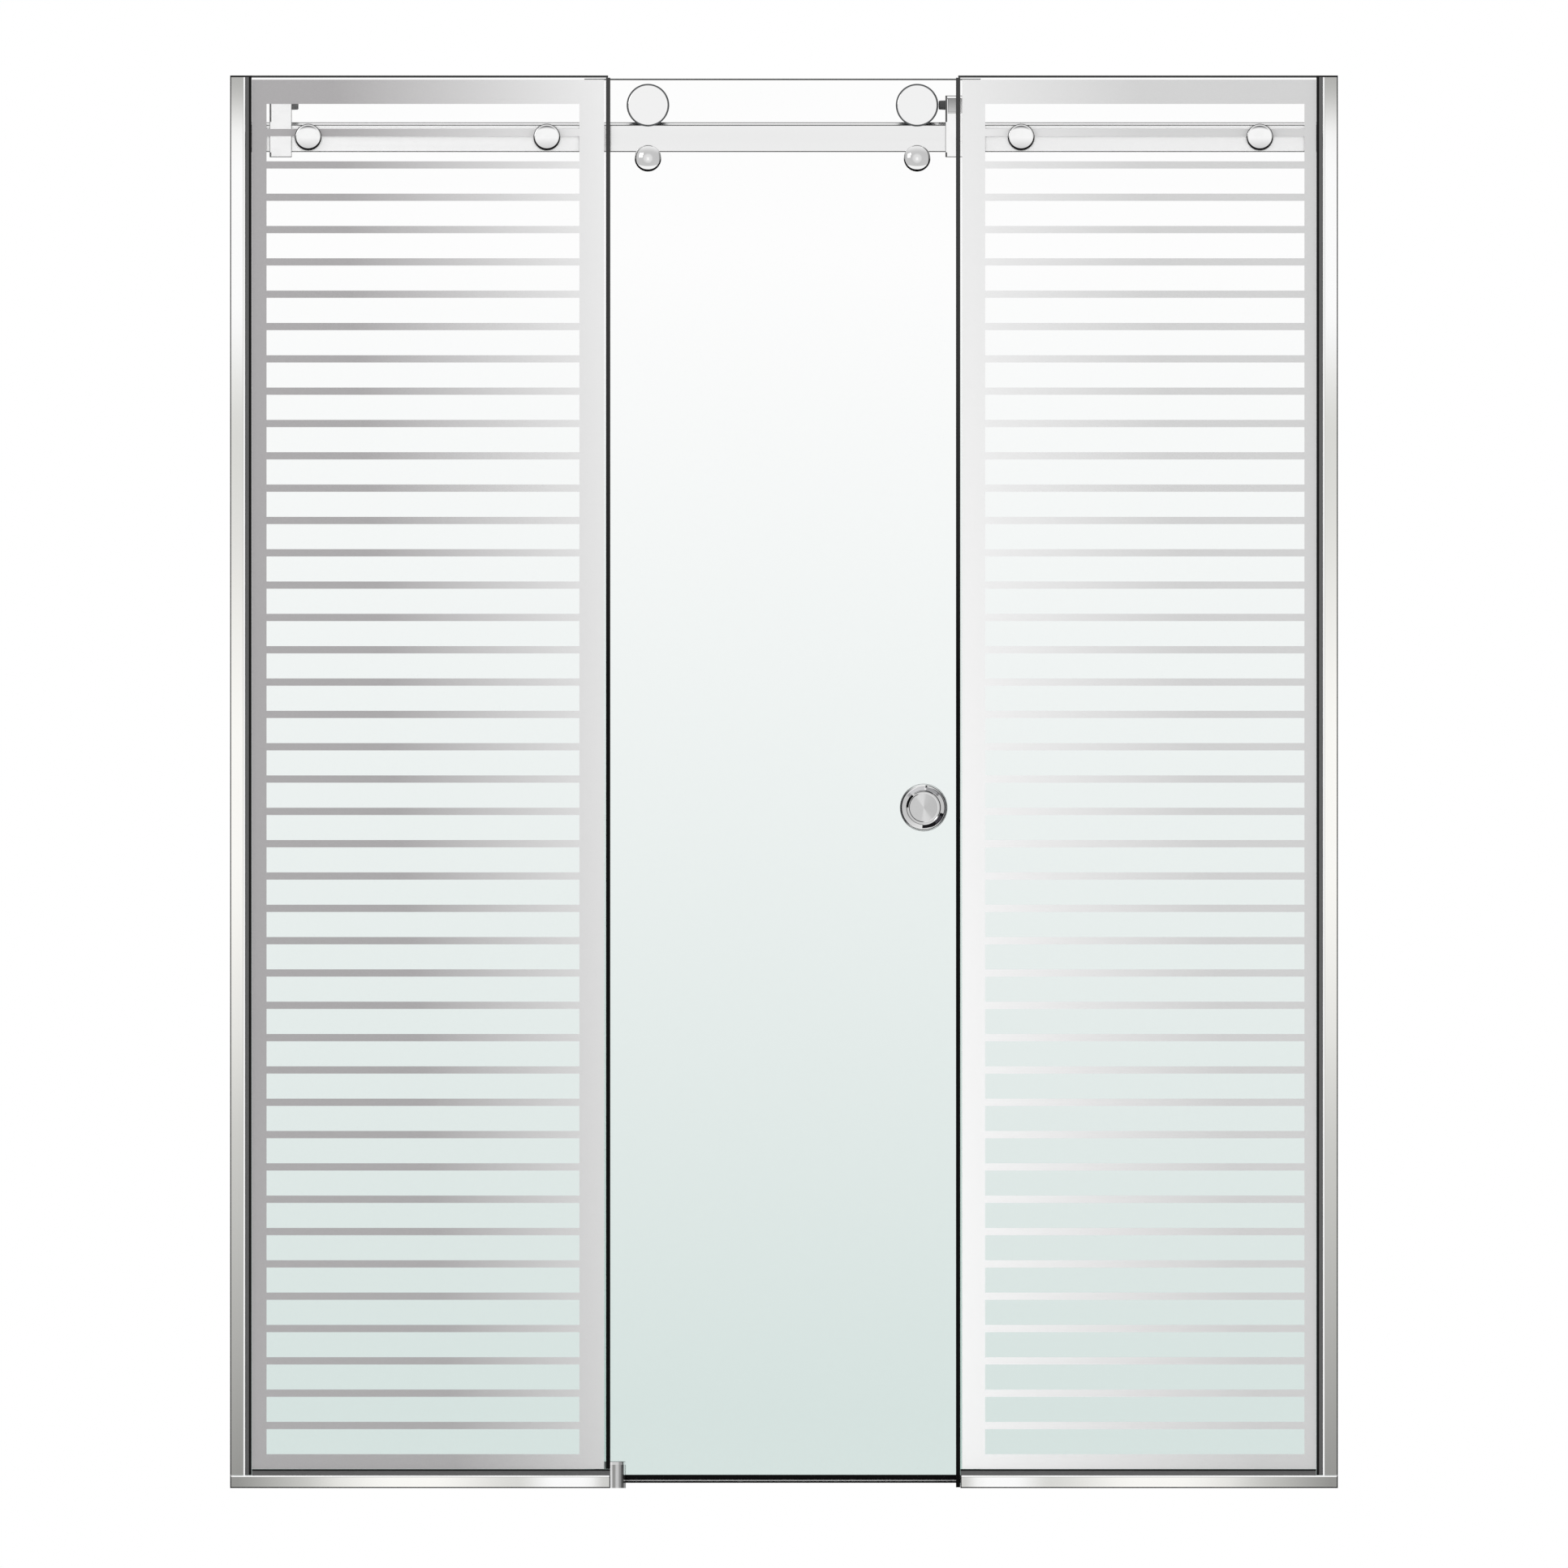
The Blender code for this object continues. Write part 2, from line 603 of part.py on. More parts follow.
def rail_outline(offset=0.0):
    """The rail's section as (y, z), with both top edges chamfered for the rollers' groove."""
    half = RAIL_THICKNESS / 2 + offset
    flat = half - RAIL_CHAMFER
    low = RAIL_BOTTOM - offset
    high = RAIL_TOP + offset
    return [
        (-half, low),
        (half, low),
        (half, high - RAIL_CHAMFER),
        (flat, high),
        (-flat, high),
        (-half, high - RAIL_CHAMFER),
    ]


def rail(materials, parent):
    end = HALF_WIDTH - BRACKET_BASE - FIT_GAP
    bar = extruded(rail_outline(), -end, end, "X")
    bar = add_piece("rail", bar, materials["polished_aluminium"], parent)
    head_depth = FIXING_SCREW_HEAD - FIXING_SCREW_RADIUS
    profile = [
        (0, RAIL_FRONT - CUT_OVERRUN),
        (FIXING_SCREW_RADIUS + FIT_GAP, RAIL_FRONT - CUT_OVERRUN),
        (FIXING_SCREW_RADIUS + FIT_GAP, RAIL_BACK - head_depth),
        (FIXING_SCREW_HEAD + FIT_GAP, RAIL_BACK),
        (FIXING_SCREW_HEAD + FIT_GAP, RAIL_BACK + CUT_OVERRUN),
        (0, RAIL_BACK + CUT_OVERRUN),
    ]
    for side, sign in SIDES.items():
        for where, distance in FIXING_DISTANCE[side].items():
            place = (sign * distance, 0, RAIL_MIDDLE)
            tool = turned(profile, HIDDEN_SEGMENTS)
            combine(bar, add_piece(f"rail_hole_{side}_{where}", tool, None, parent, place))


def rail_end_bracket(side, materials, parent):
    """A socket screwed to the wall, which holds the rail's end."""
    sign = SIDES[side]
    wall = sign * HALF_WIDTH
    mouth = sign * (HALF_WIDTH - BRACKET_LENGTH)
    floor = sign * (HALF_WIDTH - BRACKET_BASE)
    socket = add_piece(
        f"rail_end_bracket_{side}",
        extruded(rail_outline(FIT_GAP + BRACKET_WALL), wall, mouth, "X"),
        materials["chrome"],
        parent,
    )
    pocket = extruded(rail_outline(FIT_GAP), floor, mouth - sign * CUT_OVERRUN, "X")
    combine(socket, add_piece(f"bracket_pocket_{side}", pocket, None, parent))
    place = (wall, 0, RAIL_MIDDLE)
    drill(socket, parent, BRACKET_SCREW_RADIUS, place, -BRACKET_BASE, BRACKET_BASE, across=True)
    sink = BRACKET_SCREW_HEAD - BRACKET_SCREW_RADIUS
    profile = [
        (0, -CUT_OVERRUN),
        (BRACKET_SCREW_HEAD, -CUT_OVERRUN),
        (BRACKET_SCREW_HEAD, 0),
        (BRACKET_SCREW_RADIUS, sink),
        (0, sink),
    ]
    turn = math.pi / 2 if side == "left" else -math.pi / 2
    tool = turned(profile, HIDDEN_SEGMENTS)
    place = (floor, 0, RAIL_MIDDLE)
    combine(socket, add_piece(f"bracket_sink_{side}", tool, None, parent, place, turn))


def rail_fixing(side, where, materials, parent):
    """A cap with its shank in the glass, a spacer behind it, and a countersunk screw through the rail."""
    name = f"{side}_{where}"
    place = (SIDES[side] * FIXING_DISTANCE[side][where], 0, RAIL_MIDDLE)
    shank_end = RAIL_FRONT - FIT_GAP
    bore = FIXING_SCREW_RADIUS + FIT_GAP
    bore_end = shank_end - FIXING_SCREW_GRIP - FIT_GAP
    round_centre = (FIXING_CAP_RADIUS - FIXING_CAP_ROUND, FIXING_CAP_FRONT + FIXING_CAP_ROUND)
    profile = [
        (0, FIXING_CAP_FRONT),
        *arc(round_centre, FIXING_CAP_ROUND, -90, 0),
        (FIXING_CAP_RADIUS, FIXING_CAP_BACK),
        (FIXING_SHANK_RADIUS, FIXING_CAP_BACK),
        (FIXING_SHANK_RADIUS, shank_end),
        (bore, shank_end),
        (bore, bore_end),
        (0, bore_end),
    ]
    add_piece(f"fixing_cap_{name}", turned(profile, CAP_SEGMENTS), materials["chrome"], parent, place)

    spacer_front = FIXED_BACK + FIT_GAP
    spacer_back = RAIL_FRONT - FIT_GAP
    profile = [
        (FIXING_SHANK_RADIUS + FIT_GAP, spacer_front),
        (FIXING_SPACER_RADIUS, spacer_front),
        (FIXING_SPACER_RADIUS, spacer_back),
        (FIXING_SHANK_RADIUS + FIT_GAP, spacer_back),
    ]
    spacer = turned(profile, HIDDEN_SEGMENTS, ring=True)
    add_piece(f"fixing_spacer_{name}", spacer, materials["chrome"], parent, place)

    head_depth = FIXING_SCREW_HEAD - FIXING_SCREW_RADIUS
    profile = [
        (0, shank_end - FIXING_SCREW_GRIP),
        (FIXING_SCREW_RADIUS, shank_end - FIXING_SCREW_GRIP),
        (FIXING_SCREW_RADIUS, RAIL_BACK - head_depth),
        (FIXING_SCREW_HEAD, RAIL_BACK),
        (0, RAIL_BACK),
    ]
    screw = turned(profile, HIDDEN_SEGMENTS)
    add_piece(f"fixing_screw_{name}", screw, materials["brushed_steel"], parent, place)


def rail_stop(side, materials, parent):
    """A block clamped round the rail. Its rubber bumper faces the wheel at axle height."""
    sign = SIDES[side]
    face = STOP_FACE_X[side]
    far = face + sign * STOP_WIDTH
    front = FIXED_BACK + STOP_GLASS_GAP
    back = DOOR_FRONT - STOP_DOOR_GAP
    bottom = RAIL_BOTTOM - STOP_FLOOR
    top = AXLE_HEIGHT + STOP_RISE
    stop = add_piece(
        f"stop_block_{side}",
        block((face, front, bottom), (far, back, top)),
        materials["chrome"],
        parent,
    )
    ease_edges(stop, STOP_ROUND, 2)
    overrun = sign * CUT_OVERRUN
    passage = extruded(rail_outline(FIT_GAP), face - overrun, far + overrun, "X")
    combine(stop, add_piece(f"stop_passage_{side}", passage, None, parent))
    half_recess = STOP_RECESS_HEIGHT / 2
    recess = block(
        (face + sign * STOP_RECESS_BORDER, front - CUT_OVERRUN, AXLE_HEIGHT - half_recess),
        (far - sign * STOP_RECESS_BORDER, front + STOP_RECESS_DEPTH, AXLE_HEIGHT + half_recess),
    )
    combine(stop, add_piece(f"stop_recess_{side}", recess, None, parent))

    tip = -BUMPER_LENGTH
    profile = [
        (0, tip),
        *arc((BUMPER_RADIUS - BUMPER_ROUND, tip + BUMPER_ROUND), BUMPER_ROUND, -90, 0),
        (BUMPER_RADIUS, -FIT_GAP),
        (BUMPER_STEM_RADIUS, -FIT_GAP),
        (BUMPER_STEM_RADIUS, BUMPER_STEM_LENGTH),
        (0, BUMPER_STEM_LENGTH),
    ]
    turn = -sign * math.pi / 2
    place = (face, 0, AXLE_HEIGHT)
    bumper = turned(profile, HIDDEN_SEGMENTS)
    add_piece(f"stop_bumper_{side}", bumper, materials["black_seal"], parent, place, turn)
    hole = BUMPER_STEM_RADIUS + FIT_GAP
    profile = [
        (0, -CUT_OVERRUN),
        (hole, -CUT_OVERRUN),
        (hole, BUMPER_STEM_LENGTH + FIT_GAP),
        (0, BUMPER_STEM_LENGTH + FIT_GAP),
    ]
    tool = turned(profile, HIDDEN_SEGMENTS)
    combine(stop, add_piece(f"stop_stem_hole_{side}", tool, None, parent, place, turn))

    middle = face + sign * STOP_WIDTH / 2
    ring = arc((middle, 0), STOP_SCREW_RADIUS, 0, 360, HIDDEN_SEGMENTS)[:-1]
    screw = extruded(ring, bottom + FIT_GAP, RAIL_BOTTOM - FIT_GAP, "Z")
    add_piece(f"stop_screw_{side}", screw, materials["brushed_steel"], parent)
    ring = arc((middle, 0), STOP_SCREW_RADIUS + FIT_GAP, 0, 360, HIDDEN_SEGMENTS)[:-1]
    hole = extruded(ring, bottom - CUT_OVERRUN, RAIL_BOTTOM, "Z")
    combine(stop, add_piece(f"stop_screw_hole_{side}", hole, None, parent))


def floor_guide(materials, parent):
    """A block with a bowed front and a lined slot that keeps the door's foot in line."""
    half = GUIDE_WIDTH / 2
    radius = (half**2 + GUIDE_BOW**2) / (2 * GUIDE_BOW)
    spread = math.degrees(math.asin(half / radius))
    bow = arc((GUIDE_X, GUIDE_FRONT + radius), radius, 270 - spread, 270 + spread, BOW_STEPS)
    outline = [*bow, (GUIDE_X + half, GUIDE_BACK), (GUIDE_X - half, GUIDE_BACK)]
    body = extruded(outline, 0, GUIDE_HEIGHT, "Z")
    body = add_piece("floor_guide_body", body, materials["chrome"], parent)
    ease_edges(body, GUIDE_ROUND, 2)
    slot = block(
        (GUIDE_X - half - CUT_OVERRUN, DOOR_MIDDLE - GUIDE_SLOT_DEPTH / 2, GUIDE_BASE),
        (GUIDE_X + half + CUT_OVERRUN, DOOR_MIDDLE + GUIDE_SLOT_DEPTH / 2, GUIDE_HEIGHT + CUT_OVERRUN),
    )
    combine(body, add_piece("floor_guide_slot", slot, None, parent))

    outer = LINER_DEPTH / 2
    inner = outer - LINER_WALL
    low = GUIDE_BASE + FIT_GAP
    high = GUIDE_HEIGHT - GUIDE_ROUND
    half_outline = [(outer, low), (outer, high), (inner, high), (inner, low + LINER_WALL)]
    outline = half_outline + [(-a, b) for a, b in reversed(half_outline)]
    outline = [(DOOR_MIDDLE + a, b) for a, b in outline]
    reach = half - LINER_INSET
    liner = extruded(outline, GUIDE_X - reach, GUIDE_X + reach, "X")
    add_piece("floor_guide_liner", liner, materials["nylon"], parent)


def door_glass(materials, parent):
    bush_hole = AXLE_RADIUS + FIT_GAP + BUSH_WALL + FIT_GAP
    holes = [
        ((x, z), bush_hole, HIDDEN_SEGMENTS)
        for x in AXLE_X.values()
        for z in (AXLE_HEIGHT, KNOB_HEIGHT)
    ]
    holes.append(((HANDLE_X, HANDLE_HEIGHT), HANDLE_SLEEVE_RADIUS + FIT_GAP, VISIBLE_SEGMENTS))
    low = (DOOR_LEFT, DOOR_FRONT, DOOR_BOTTOM)
    high = (DOOR_RIGHT, DOOR_BACK, DOOR_TOP)
    panel = drilled_panel(low, high, holes)
    add_piece("door_glass", panel, materials["clear_glass"], parent)


def door_seals(materials, parent):
    """A sweep under the door, and a clip on its left edge whose fin closes the gap to the fixed glass."""
    outer = SEAL_CLIP_DEPTH / 2
    inner = outer - SEAL_WALL
    clip_low = DOOR_BOTTOM - FIT_GAP - SEAL_CLIP_BASE
    foot_low = DOOR_BOTTOM - SEAL_DROP
    half = [
        (SEAL_FOOT_WIDTH / 2, foot_low),
        (SEAL_FOOT_WIDTH / 2, foot_low + SEAL_FOOT_HEIGHT),
        (SEAL_STEM_THICKNESS / 2, foot_low + SEAL_FOOT_HEIGHT),
        (SEAL_STEM_THICKNESS / 2, clip_low),
        (outer, clip_low),
        (outer, DOOR_BOTTOM + SEAL_CLIP_COVER),
        (inner, DOOR_BOTTOM + SEAL_CLIP_COVER),
        (inner, DOOR_BOTTOM - FIT_GAP),
    ]
    outline = [(DOOR_MIDDLE + a, b) for a, b in half + [(-a, b) for a, b in reversed(half)]]
    sweep = extruded(outline, DOOR_LEFT + SEAL_END_INSET, DOOR_RIGHT - SEAL_END_INSET, "X")
    add_piece("door_bottom_seal", sweep, materials["black_seal"], parent)

    glass_edge = DOOR_LEFT - FIT_GAP
    clip_edge = glass_edge - SEAL_CLIP_BASE
    leg_end = DOOR_LEFT + SIDE_SEAL_COVER
    front = DOOR_MIDDLE - outer
    tip = FIXED_BACK + FIT_GAP
    outline = [
        (clip_edge, tip),
        (clip_edge + FIN_TIP_THICKNESS, tip),
        (clip_edge + FIN_THICKNESS, front),
        (leg_end, front),
        (leg_end, front + SEAL_WALL),
        (glass_edge, front + SEAL_WALL),
        (glass_edge, DOOR_MIDDLE + inner),
        (leg_end, DOOR_MIDDLE + inner),
        (leg_end, DOOR_MIDDLE + outer),
        (clip_edge, DOOR_MIDDLE + outer),
    ]
    side_seal = extruded(outline, FIN_BOTTOM, FIN_TOP, "Z")
    add_piece("door_side_seal", side_seal, materials["black_seal"], parent)


def handle_half(name, facing, materials, parent):
    """One dished half of the flush pull. Facing is -1 for the bathroom side and 1 for the shower side."""
    skin = GLASS_THICKNESS / 2
    floor = skin - HANDLE_FLOOR_DEPTH
    rim = skin + HANDLE_PROUD
    bowl_start = HANDLE_DISC_RADIUS + HANDLE_GROOVE_WIDTH
    bowl = []
    for step in range(2 * ARC_STEPS + 1):
        angle = math.pi / 2 * step / (2 * ARC_STEPS)
        radius = bowl_start + (HANDLE_RIM_RADIUS - bowl_start) * math.sin(angle)
        bowl.append((radius, floor + (rim - floor) * (1 - math.cos(angle))))
    profile = [
        (0, floor),
        (HANDLE_DISC_RADIUS, floor),
        (HANDLE_DISC_RADIUS, floor - HANDLE_GROOVE_DEPTH),
        (bowl_start, floor - HANDLE_GROOVE_DEPTH),
        *bowl,
        (HANDLE_RIM_RADIUS + HANDLE_RIM_WIDTH, rim),
        (HANDLE_RADIUS, skin + HANDLE_EDGE + FIT_GAP),
        (HANDLE_RADIUS, skin + FIT_GAP),
        (HANDLE_SLEEVE_RADIUS, skin + FIT_GAP),
        (HANDLE_SLEEVE_RADIUS, FIT_GAP / 2),
        (0, FIT_GAP / 2),
    ]
    profile = [(radius, DOOR_MIDDLE + facing * depth) for radius, depth in profile]
    add_piece(name, turned(profile), materials["chrome"], parent, (HANDLE_X, 0, HANDLE_HEIGHT))


def back_cap(name, radius, place, materials, parent):
    """A rounded nut cap behind the door glass, bored for the end of a shank."""
    bore = AXLE_RADIUS + FIT_GAP
    bore_end = BACK_CAP_BACK - AXLE_END_GAP + FIT_GAP
    profile = [
        (0, BACK_CAP_BACK),
        *arc((radius - BACK_CAP_ROUND, BACK_CAP_BACK - BACK_CAP_ROUND), BACK_CAP_ROUND, 90, 0),
        (radius, BACK_CAP_FRONT),
        (bore, BACK_CAP_FRONT),
        (bore, bore_end),
        (0, bore_end),
    ]
    add_piece(name, turned(profile, CAP_SEGMENTS), materials["chrome"], parent, place)


def bush(name, sections, place, materials, parent):
    """A ring on the shank that ends in a neck inside the glass. Sections are its (radius, start) steps."""
    bore = AXLE_RADIUS + FIT_GAP
    neck_end = DOOR_BACK - FIT_GAP
    steps = [*sections, (bore + BUSH_WALL, DOOR_FRONT - FIT_GAP)]
    ends = [start for _, start in steps[1:]] + [neck_end]
    profile = [(bore, sections[0][1])]
    for (radius, start), end in zip(steps, ends):
        profile += [(radius, start), (radius, end)]
    profile.append((bore, neck_end))
    add_piece(name, turned(profile, HIDDEN_SEGMENTS, ring=True), materials["nylon"], parent, place)


def door_hanger(side, materials, parent):
    """What the door holds at each roller: the axle, its spacer and cap, and the knob below the rail."""
    place = (AXLE_X[side], 0, AXLE_HEIGHT)
    bearing_end = BEARING_WIDTH / 2 + FIT_GAP
    shank_end = BACK_CAP_BACK - AXLE_END_GAP
    profile = [
        (0, -bearing_end - AXLE_HEAD_DEPTH),
        (AXLE_HEAD_RADIUS, -bearing_end - AXLE_HEAD_DEPTH),
        (AXLE_HEAD_RADIUS, -bearing_end),
        (AXLE_RADIUS, -bearing_end),
        (AXLE_RADIUS, shank_end),
        (0, shank_end),
    ]
    axle = turned(profile, HIDDEN_SEGMENTS)
    add_piece(f"roller_axle_{side}", axle, materials["brushed_steel"], parent, place)
    flange_start = DOOR_FRONT - FIT_GAP - HUB_FLANGE_DEPTH
    sections = [(HUB_SPACER_RADIUS, bearing_end), (HUB_FLANGE_RADIUS, flange_start)]
    bush(f"roller_spacer_{side}", sections, place, materials, parent)
    back_cap(f"roller_back_cap_{side}", BACK_CAP_RADIUS, place, materials, parent)

    place = (AXLE_X[side], 0, KNOB_HEIGHT)
    knob_front = FIXED_BACK + KNOB_GLASS_GAP
    knob_back = RAIL_FRONT - KNOB_RAIL_GAP
    dome_base = knob_back - KNOB_BASE
    dome_rise = knob_front - dome_base
    dome = []
    for step in range(2 * ARC_STEPS + 1):
        angle = math.pi / 2 * step / (2 * ARC_STEPS)
        dome.append((KNOB_RADIUS * math.sin(angle), dome_base + dome_rise * math.cos(angle)))
    profile = [
        *dome,
        (KNOB_RADIUS, knob_back),
        (AXLE_RADIUS, knob_back),
        (AXLE_RADIUS, shank_end),
        (0, shank_end),
    ]
    add_piece(f"anti_jump_knob_{side}", turned(profile), materials["chrome"], parent, place)
    bush(f"anti_jump_sleeve_{side}", [(SLEEVE_RADIUS, knob_back + FIT_GAP)], place, materials, parent)
    back_cap(f"anti_jump_back_cap_{side}", KNOB_BACK_RADIUS, place, materials, parent)


def roller(side, materials, parent):
    """The grooved wheel with its bearing and polished cap, all about the roller's own axis."""
    half = WHEEL_WIDTH / 2
    seat = BEARING_RADIUS + FIT_GAP
    bearing_half = BEARING_WIDTH / 2
    shoulder = bearing_half + FIT_GAP
    hub_hole = HUB_SPACER_RADIUS + HUB_SPACER_CLEARANCE
    groove_floor = RAIL_THICKNESS / 2 - RAIL_CHAMFER + FIT_GAP
    groove_mouth = groove_floor + RAIL_CHAMFER
    shoulder_radius = TREAD_RADIUS + RAIL_CHAMFER
    groove = [
        (FLANGE_RADIUS, groove_mouth + FLANGE_EASE),
        (shoulder_radius, groove_mouth),
        (TREAD_RADIUS, groove_floor),
    ]
    profile = [
        (seat, -half),
        (FLANGE_RADIUS - WHEEL_CHAMFER, -half),
        (FLANGE_RADIUS, WHEEL_CHAMFER - half),
        *[(radius, -depth) for radius, depth in groove],
        *reversed(groove),
        (FLANGE_RADIUS, half - WHEEL_CHAMFER),
        (FLANGE_RADIUS - WHEEL_CHAMFER, half),
        (hub_hole, half),
        (hub_hole, shoulder),
        (seat, shoulder),
    ]
    add_piece(f"wheel_{side}", turned(profile, ring=True), materials["nylon"], parent)

    bore = AXLE_RADIUS + FIT_GAP
    inner_race = bore + BEARING_INNER_RACE
    outer_race = BEARING_RADIUS - BEARING_OUTER_RACE
    shield = bearing_half - BEARING_SHIELD_RECESS
    profile = [
        (bore, -bearing_half),
        (inner_race, -bearing_half),
        (inner_race, -shield),
        (outer_race, -shield),
        (outer_race, -bearing_half),
        (BEARING_RADIUS, -bearing_half),
        (BEARING_RADIUS, bearing_half),
        (bore, bearing_half),
    ]
    bearing = turned(profile, HIDDEN_SEGMENTS, ring=True)
    add_piece(f"bearing_{side}", bearing, materials["bearing_steel"], parent)

    back = -half - FIT_GAP
    front = back - WHEEL_CAP_DEPTH
    plug = WHEEL_CAP_PLUG - half
    profile = [
        (0, front),
        *arc((WHEEL_CAP_RADIUS - WHEEL_CAP_ROUND, front + WHEEL_CAP_ROUND), WHEEL_CAP_ROUND, -90, 0),
        (WHEEL_CAP_RADIUS, back),
        (BEARING_RADIUS, back),
        (BEARING_RADIUS, plug),
        (0, plug),
    ]
    add_piece(f"wheel_cap_{side}", turned(profile), materials["chrome"], parent)


def main():
    clear_scene()
    materials = make_materials()
    frame = holder("frame", location=(0, CENTRING_SHIFT, 0))
    door = holder("door", frame)
    for side in SIDES:
        wall_profile(side, materials, frame)
        sill(side, materials, frame)
        fixed_glass(side, materials, frame)
        frosted_print(side, materials, frame)
        edge_seal(side, materials, frame)
        rail_end_bracket(side, materials, frame)
        rail_stop(side, materials, frame)
        for where in FIXING_DISTANCE[side]:
            rail_fixing(side, where, materials, frame)
    rail(materials, frame)
    floor_guide(materials, frame)

    door_glass(materials, door)
    door_seals(materials, door)
    handle_half("handle_front", -1, materials, door)
    handle_half("handle_back", 1, materials, door)
    for side in SIDES:
        door_hanger(side, materials, door)
        axis = holder(f"roller_{side}", door, (AXLE_X[side], 0, AXLE_HEIGHT))
        roller(side, materials, axis)


main()
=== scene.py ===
"""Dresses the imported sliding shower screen: finishes, fine round fittings, a pale studio and the camera."""

import json
import math

import bmesh
import bpy
from mathutils import Matrix, Vector

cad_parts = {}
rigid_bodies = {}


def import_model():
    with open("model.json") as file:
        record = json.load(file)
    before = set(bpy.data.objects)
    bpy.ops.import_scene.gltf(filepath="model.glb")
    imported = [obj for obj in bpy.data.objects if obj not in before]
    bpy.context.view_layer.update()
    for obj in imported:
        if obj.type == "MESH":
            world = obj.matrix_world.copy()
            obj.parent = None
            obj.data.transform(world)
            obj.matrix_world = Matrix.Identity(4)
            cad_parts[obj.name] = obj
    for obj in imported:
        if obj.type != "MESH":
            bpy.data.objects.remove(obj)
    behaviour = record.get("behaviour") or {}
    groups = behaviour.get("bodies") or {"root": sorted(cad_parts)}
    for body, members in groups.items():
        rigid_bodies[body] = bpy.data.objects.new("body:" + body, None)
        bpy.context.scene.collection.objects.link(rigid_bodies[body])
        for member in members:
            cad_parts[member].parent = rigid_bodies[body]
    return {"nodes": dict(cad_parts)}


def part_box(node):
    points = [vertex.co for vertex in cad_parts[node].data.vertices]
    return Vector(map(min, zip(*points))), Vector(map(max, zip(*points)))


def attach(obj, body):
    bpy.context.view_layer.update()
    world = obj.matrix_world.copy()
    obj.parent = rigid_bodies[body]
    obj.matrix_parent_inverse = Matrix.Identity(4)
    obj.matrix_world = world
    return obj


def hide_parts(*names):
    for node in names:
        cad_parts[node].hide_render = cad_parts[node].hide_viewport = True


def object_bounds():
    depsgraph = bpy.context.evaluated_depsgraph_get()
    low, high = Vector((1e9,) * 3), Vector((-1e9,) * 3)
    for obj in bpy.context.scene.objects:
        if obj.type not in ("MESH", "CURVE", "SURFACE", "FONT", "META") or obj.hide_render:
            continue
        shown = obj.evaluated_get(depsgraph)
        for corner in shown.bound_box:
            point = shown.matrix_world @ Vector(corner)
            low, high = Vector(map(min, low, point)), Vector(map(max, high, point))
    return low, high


bl_info = {
    "name": "Sliding Shower Screen",
    "version": (1, 0, 0),
    "blender": (4, 5, 0),
    "location": "View3D > Sidebar > Shower Screen",
    "description": "Finishes and fine fittings for an alcove shower screen with a sliding glass door",
    "category": "Object",
}

for startup_object in list(bpy.data.objects):
    bpy.data.objects.remove(startup_object)
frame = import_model()
NODES = frame["nodes"]
CAD_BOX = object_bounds()

SIDES = ("left", "right")
FIXINGS = ("left_outer", "left_inner", "right_inner", "right_outer")
WORLD_UP = Vector((0, 0, 1))
MERGE_DISTANCE = 0.000002
SMOOTH_ANGLE = math.radians(32)
SEAT_GAP = 0.00003
FIT_GAP = 0.0003

PANEL_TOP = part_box("fixed_glass_left")[1].z
DOOR_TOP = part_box("door_glass")[1].z
SCREEN_HALF = CAD_BOX[1].x
PROFILE_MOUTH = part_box("wall_profile_right")[0].x
CHANNEL_FRONT, CHANNEL_BACK = (corner.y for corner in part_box("wall_profile_right"))
GASKET_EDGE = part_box("wall_gasket_right")[0].x
SILL_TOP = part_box("sill_channel_left")[1].z
SILL_ENDS = (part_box("sill_channel_left")[1].x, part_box("sill_channel_right")[0].x)
SILL_GASKET_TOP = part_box("sill_gasket_left")[1].z
RAIL_LOW, RAIL_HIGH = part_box("rail")
RAIL_CHAMFER = 0.004
KNOB_DOME = 0.0067

WHITE = (1.0, 1.0, 1.0)
OUTLINE_BLACK = (0.012, 0.012, 0.012)
HARD_EDGE = 0.0001
OVERRUN = 0.001


def paint(code):
    """A colour as it is mixed for the shader, from its six-digit code."""
    shares = [int(code[place : place + 2], 16) / 255 for place in (0, 2, 4)]
    return tuple(s / 12.92 if s <= 0.04045 else ((s + 0.055) / 1.055) ** 2.4 for s in shares)


def scaled(colour, share):
    """A colour made darker, or lighter up to white."""
    return tuple(min(1.0, part * share) for part in colour)


def colour_setting(name, description, code):
    kind = {"subtype": "COLOR", "size": 3, "min": 0.0, "max": 1.0}
    return bpy.props.FloatVectorProperty(name=name, description=description, default=paint(code), **kind)


def length_setting(name, description, metres):
    kind = {"subtype": "DISTANCE", "unit": "LENGTH", "min": 0.0, "precision": 5}
    return bpy.props.FloatProperty(name=name, description=description, default=metres, **kind)


def share_setting(name, description, share):
    kind = {"subtype": "FACTOR", "min": 0.0, "max": 1.0}
    return bpy.props.FloatProperty(name=name, description=description, default=share, **kind)


def power_setting(name, description, watts):
    return bpy.props.FloatProperty(name=name, description=description, unit="POWER", min=0.0, default=watts)


class GlassSettings(bpy.types.PropertyGroup):
    """Finish of the three glass panels."""

    # Painted shade: the glass runs from the head colour down to the darker green foot colour
    head: colour_setting("Head", "Colour of the glass near the top of the screen", "FDFDFD")
    foot: colour_setting("Foot", "Colour of the glass near the floor", "D4E1DE")
    # Painted reflection: the dark line laid on each panel's top edge
    edge: colour_setting("Ground edge", "Colour of the glass where light leaves its top edge", "080B0A")
    fixed_line: length_setting("Fixed edge line", "Height of the line on a fixed panel's top edge", 0.0029)
    door_line: length_setting("Door edge line", "Height of the line on the door's top edge", 0.0020)
    roughness: share_setting("Roughness", "Haze of clean glass", 0.0)


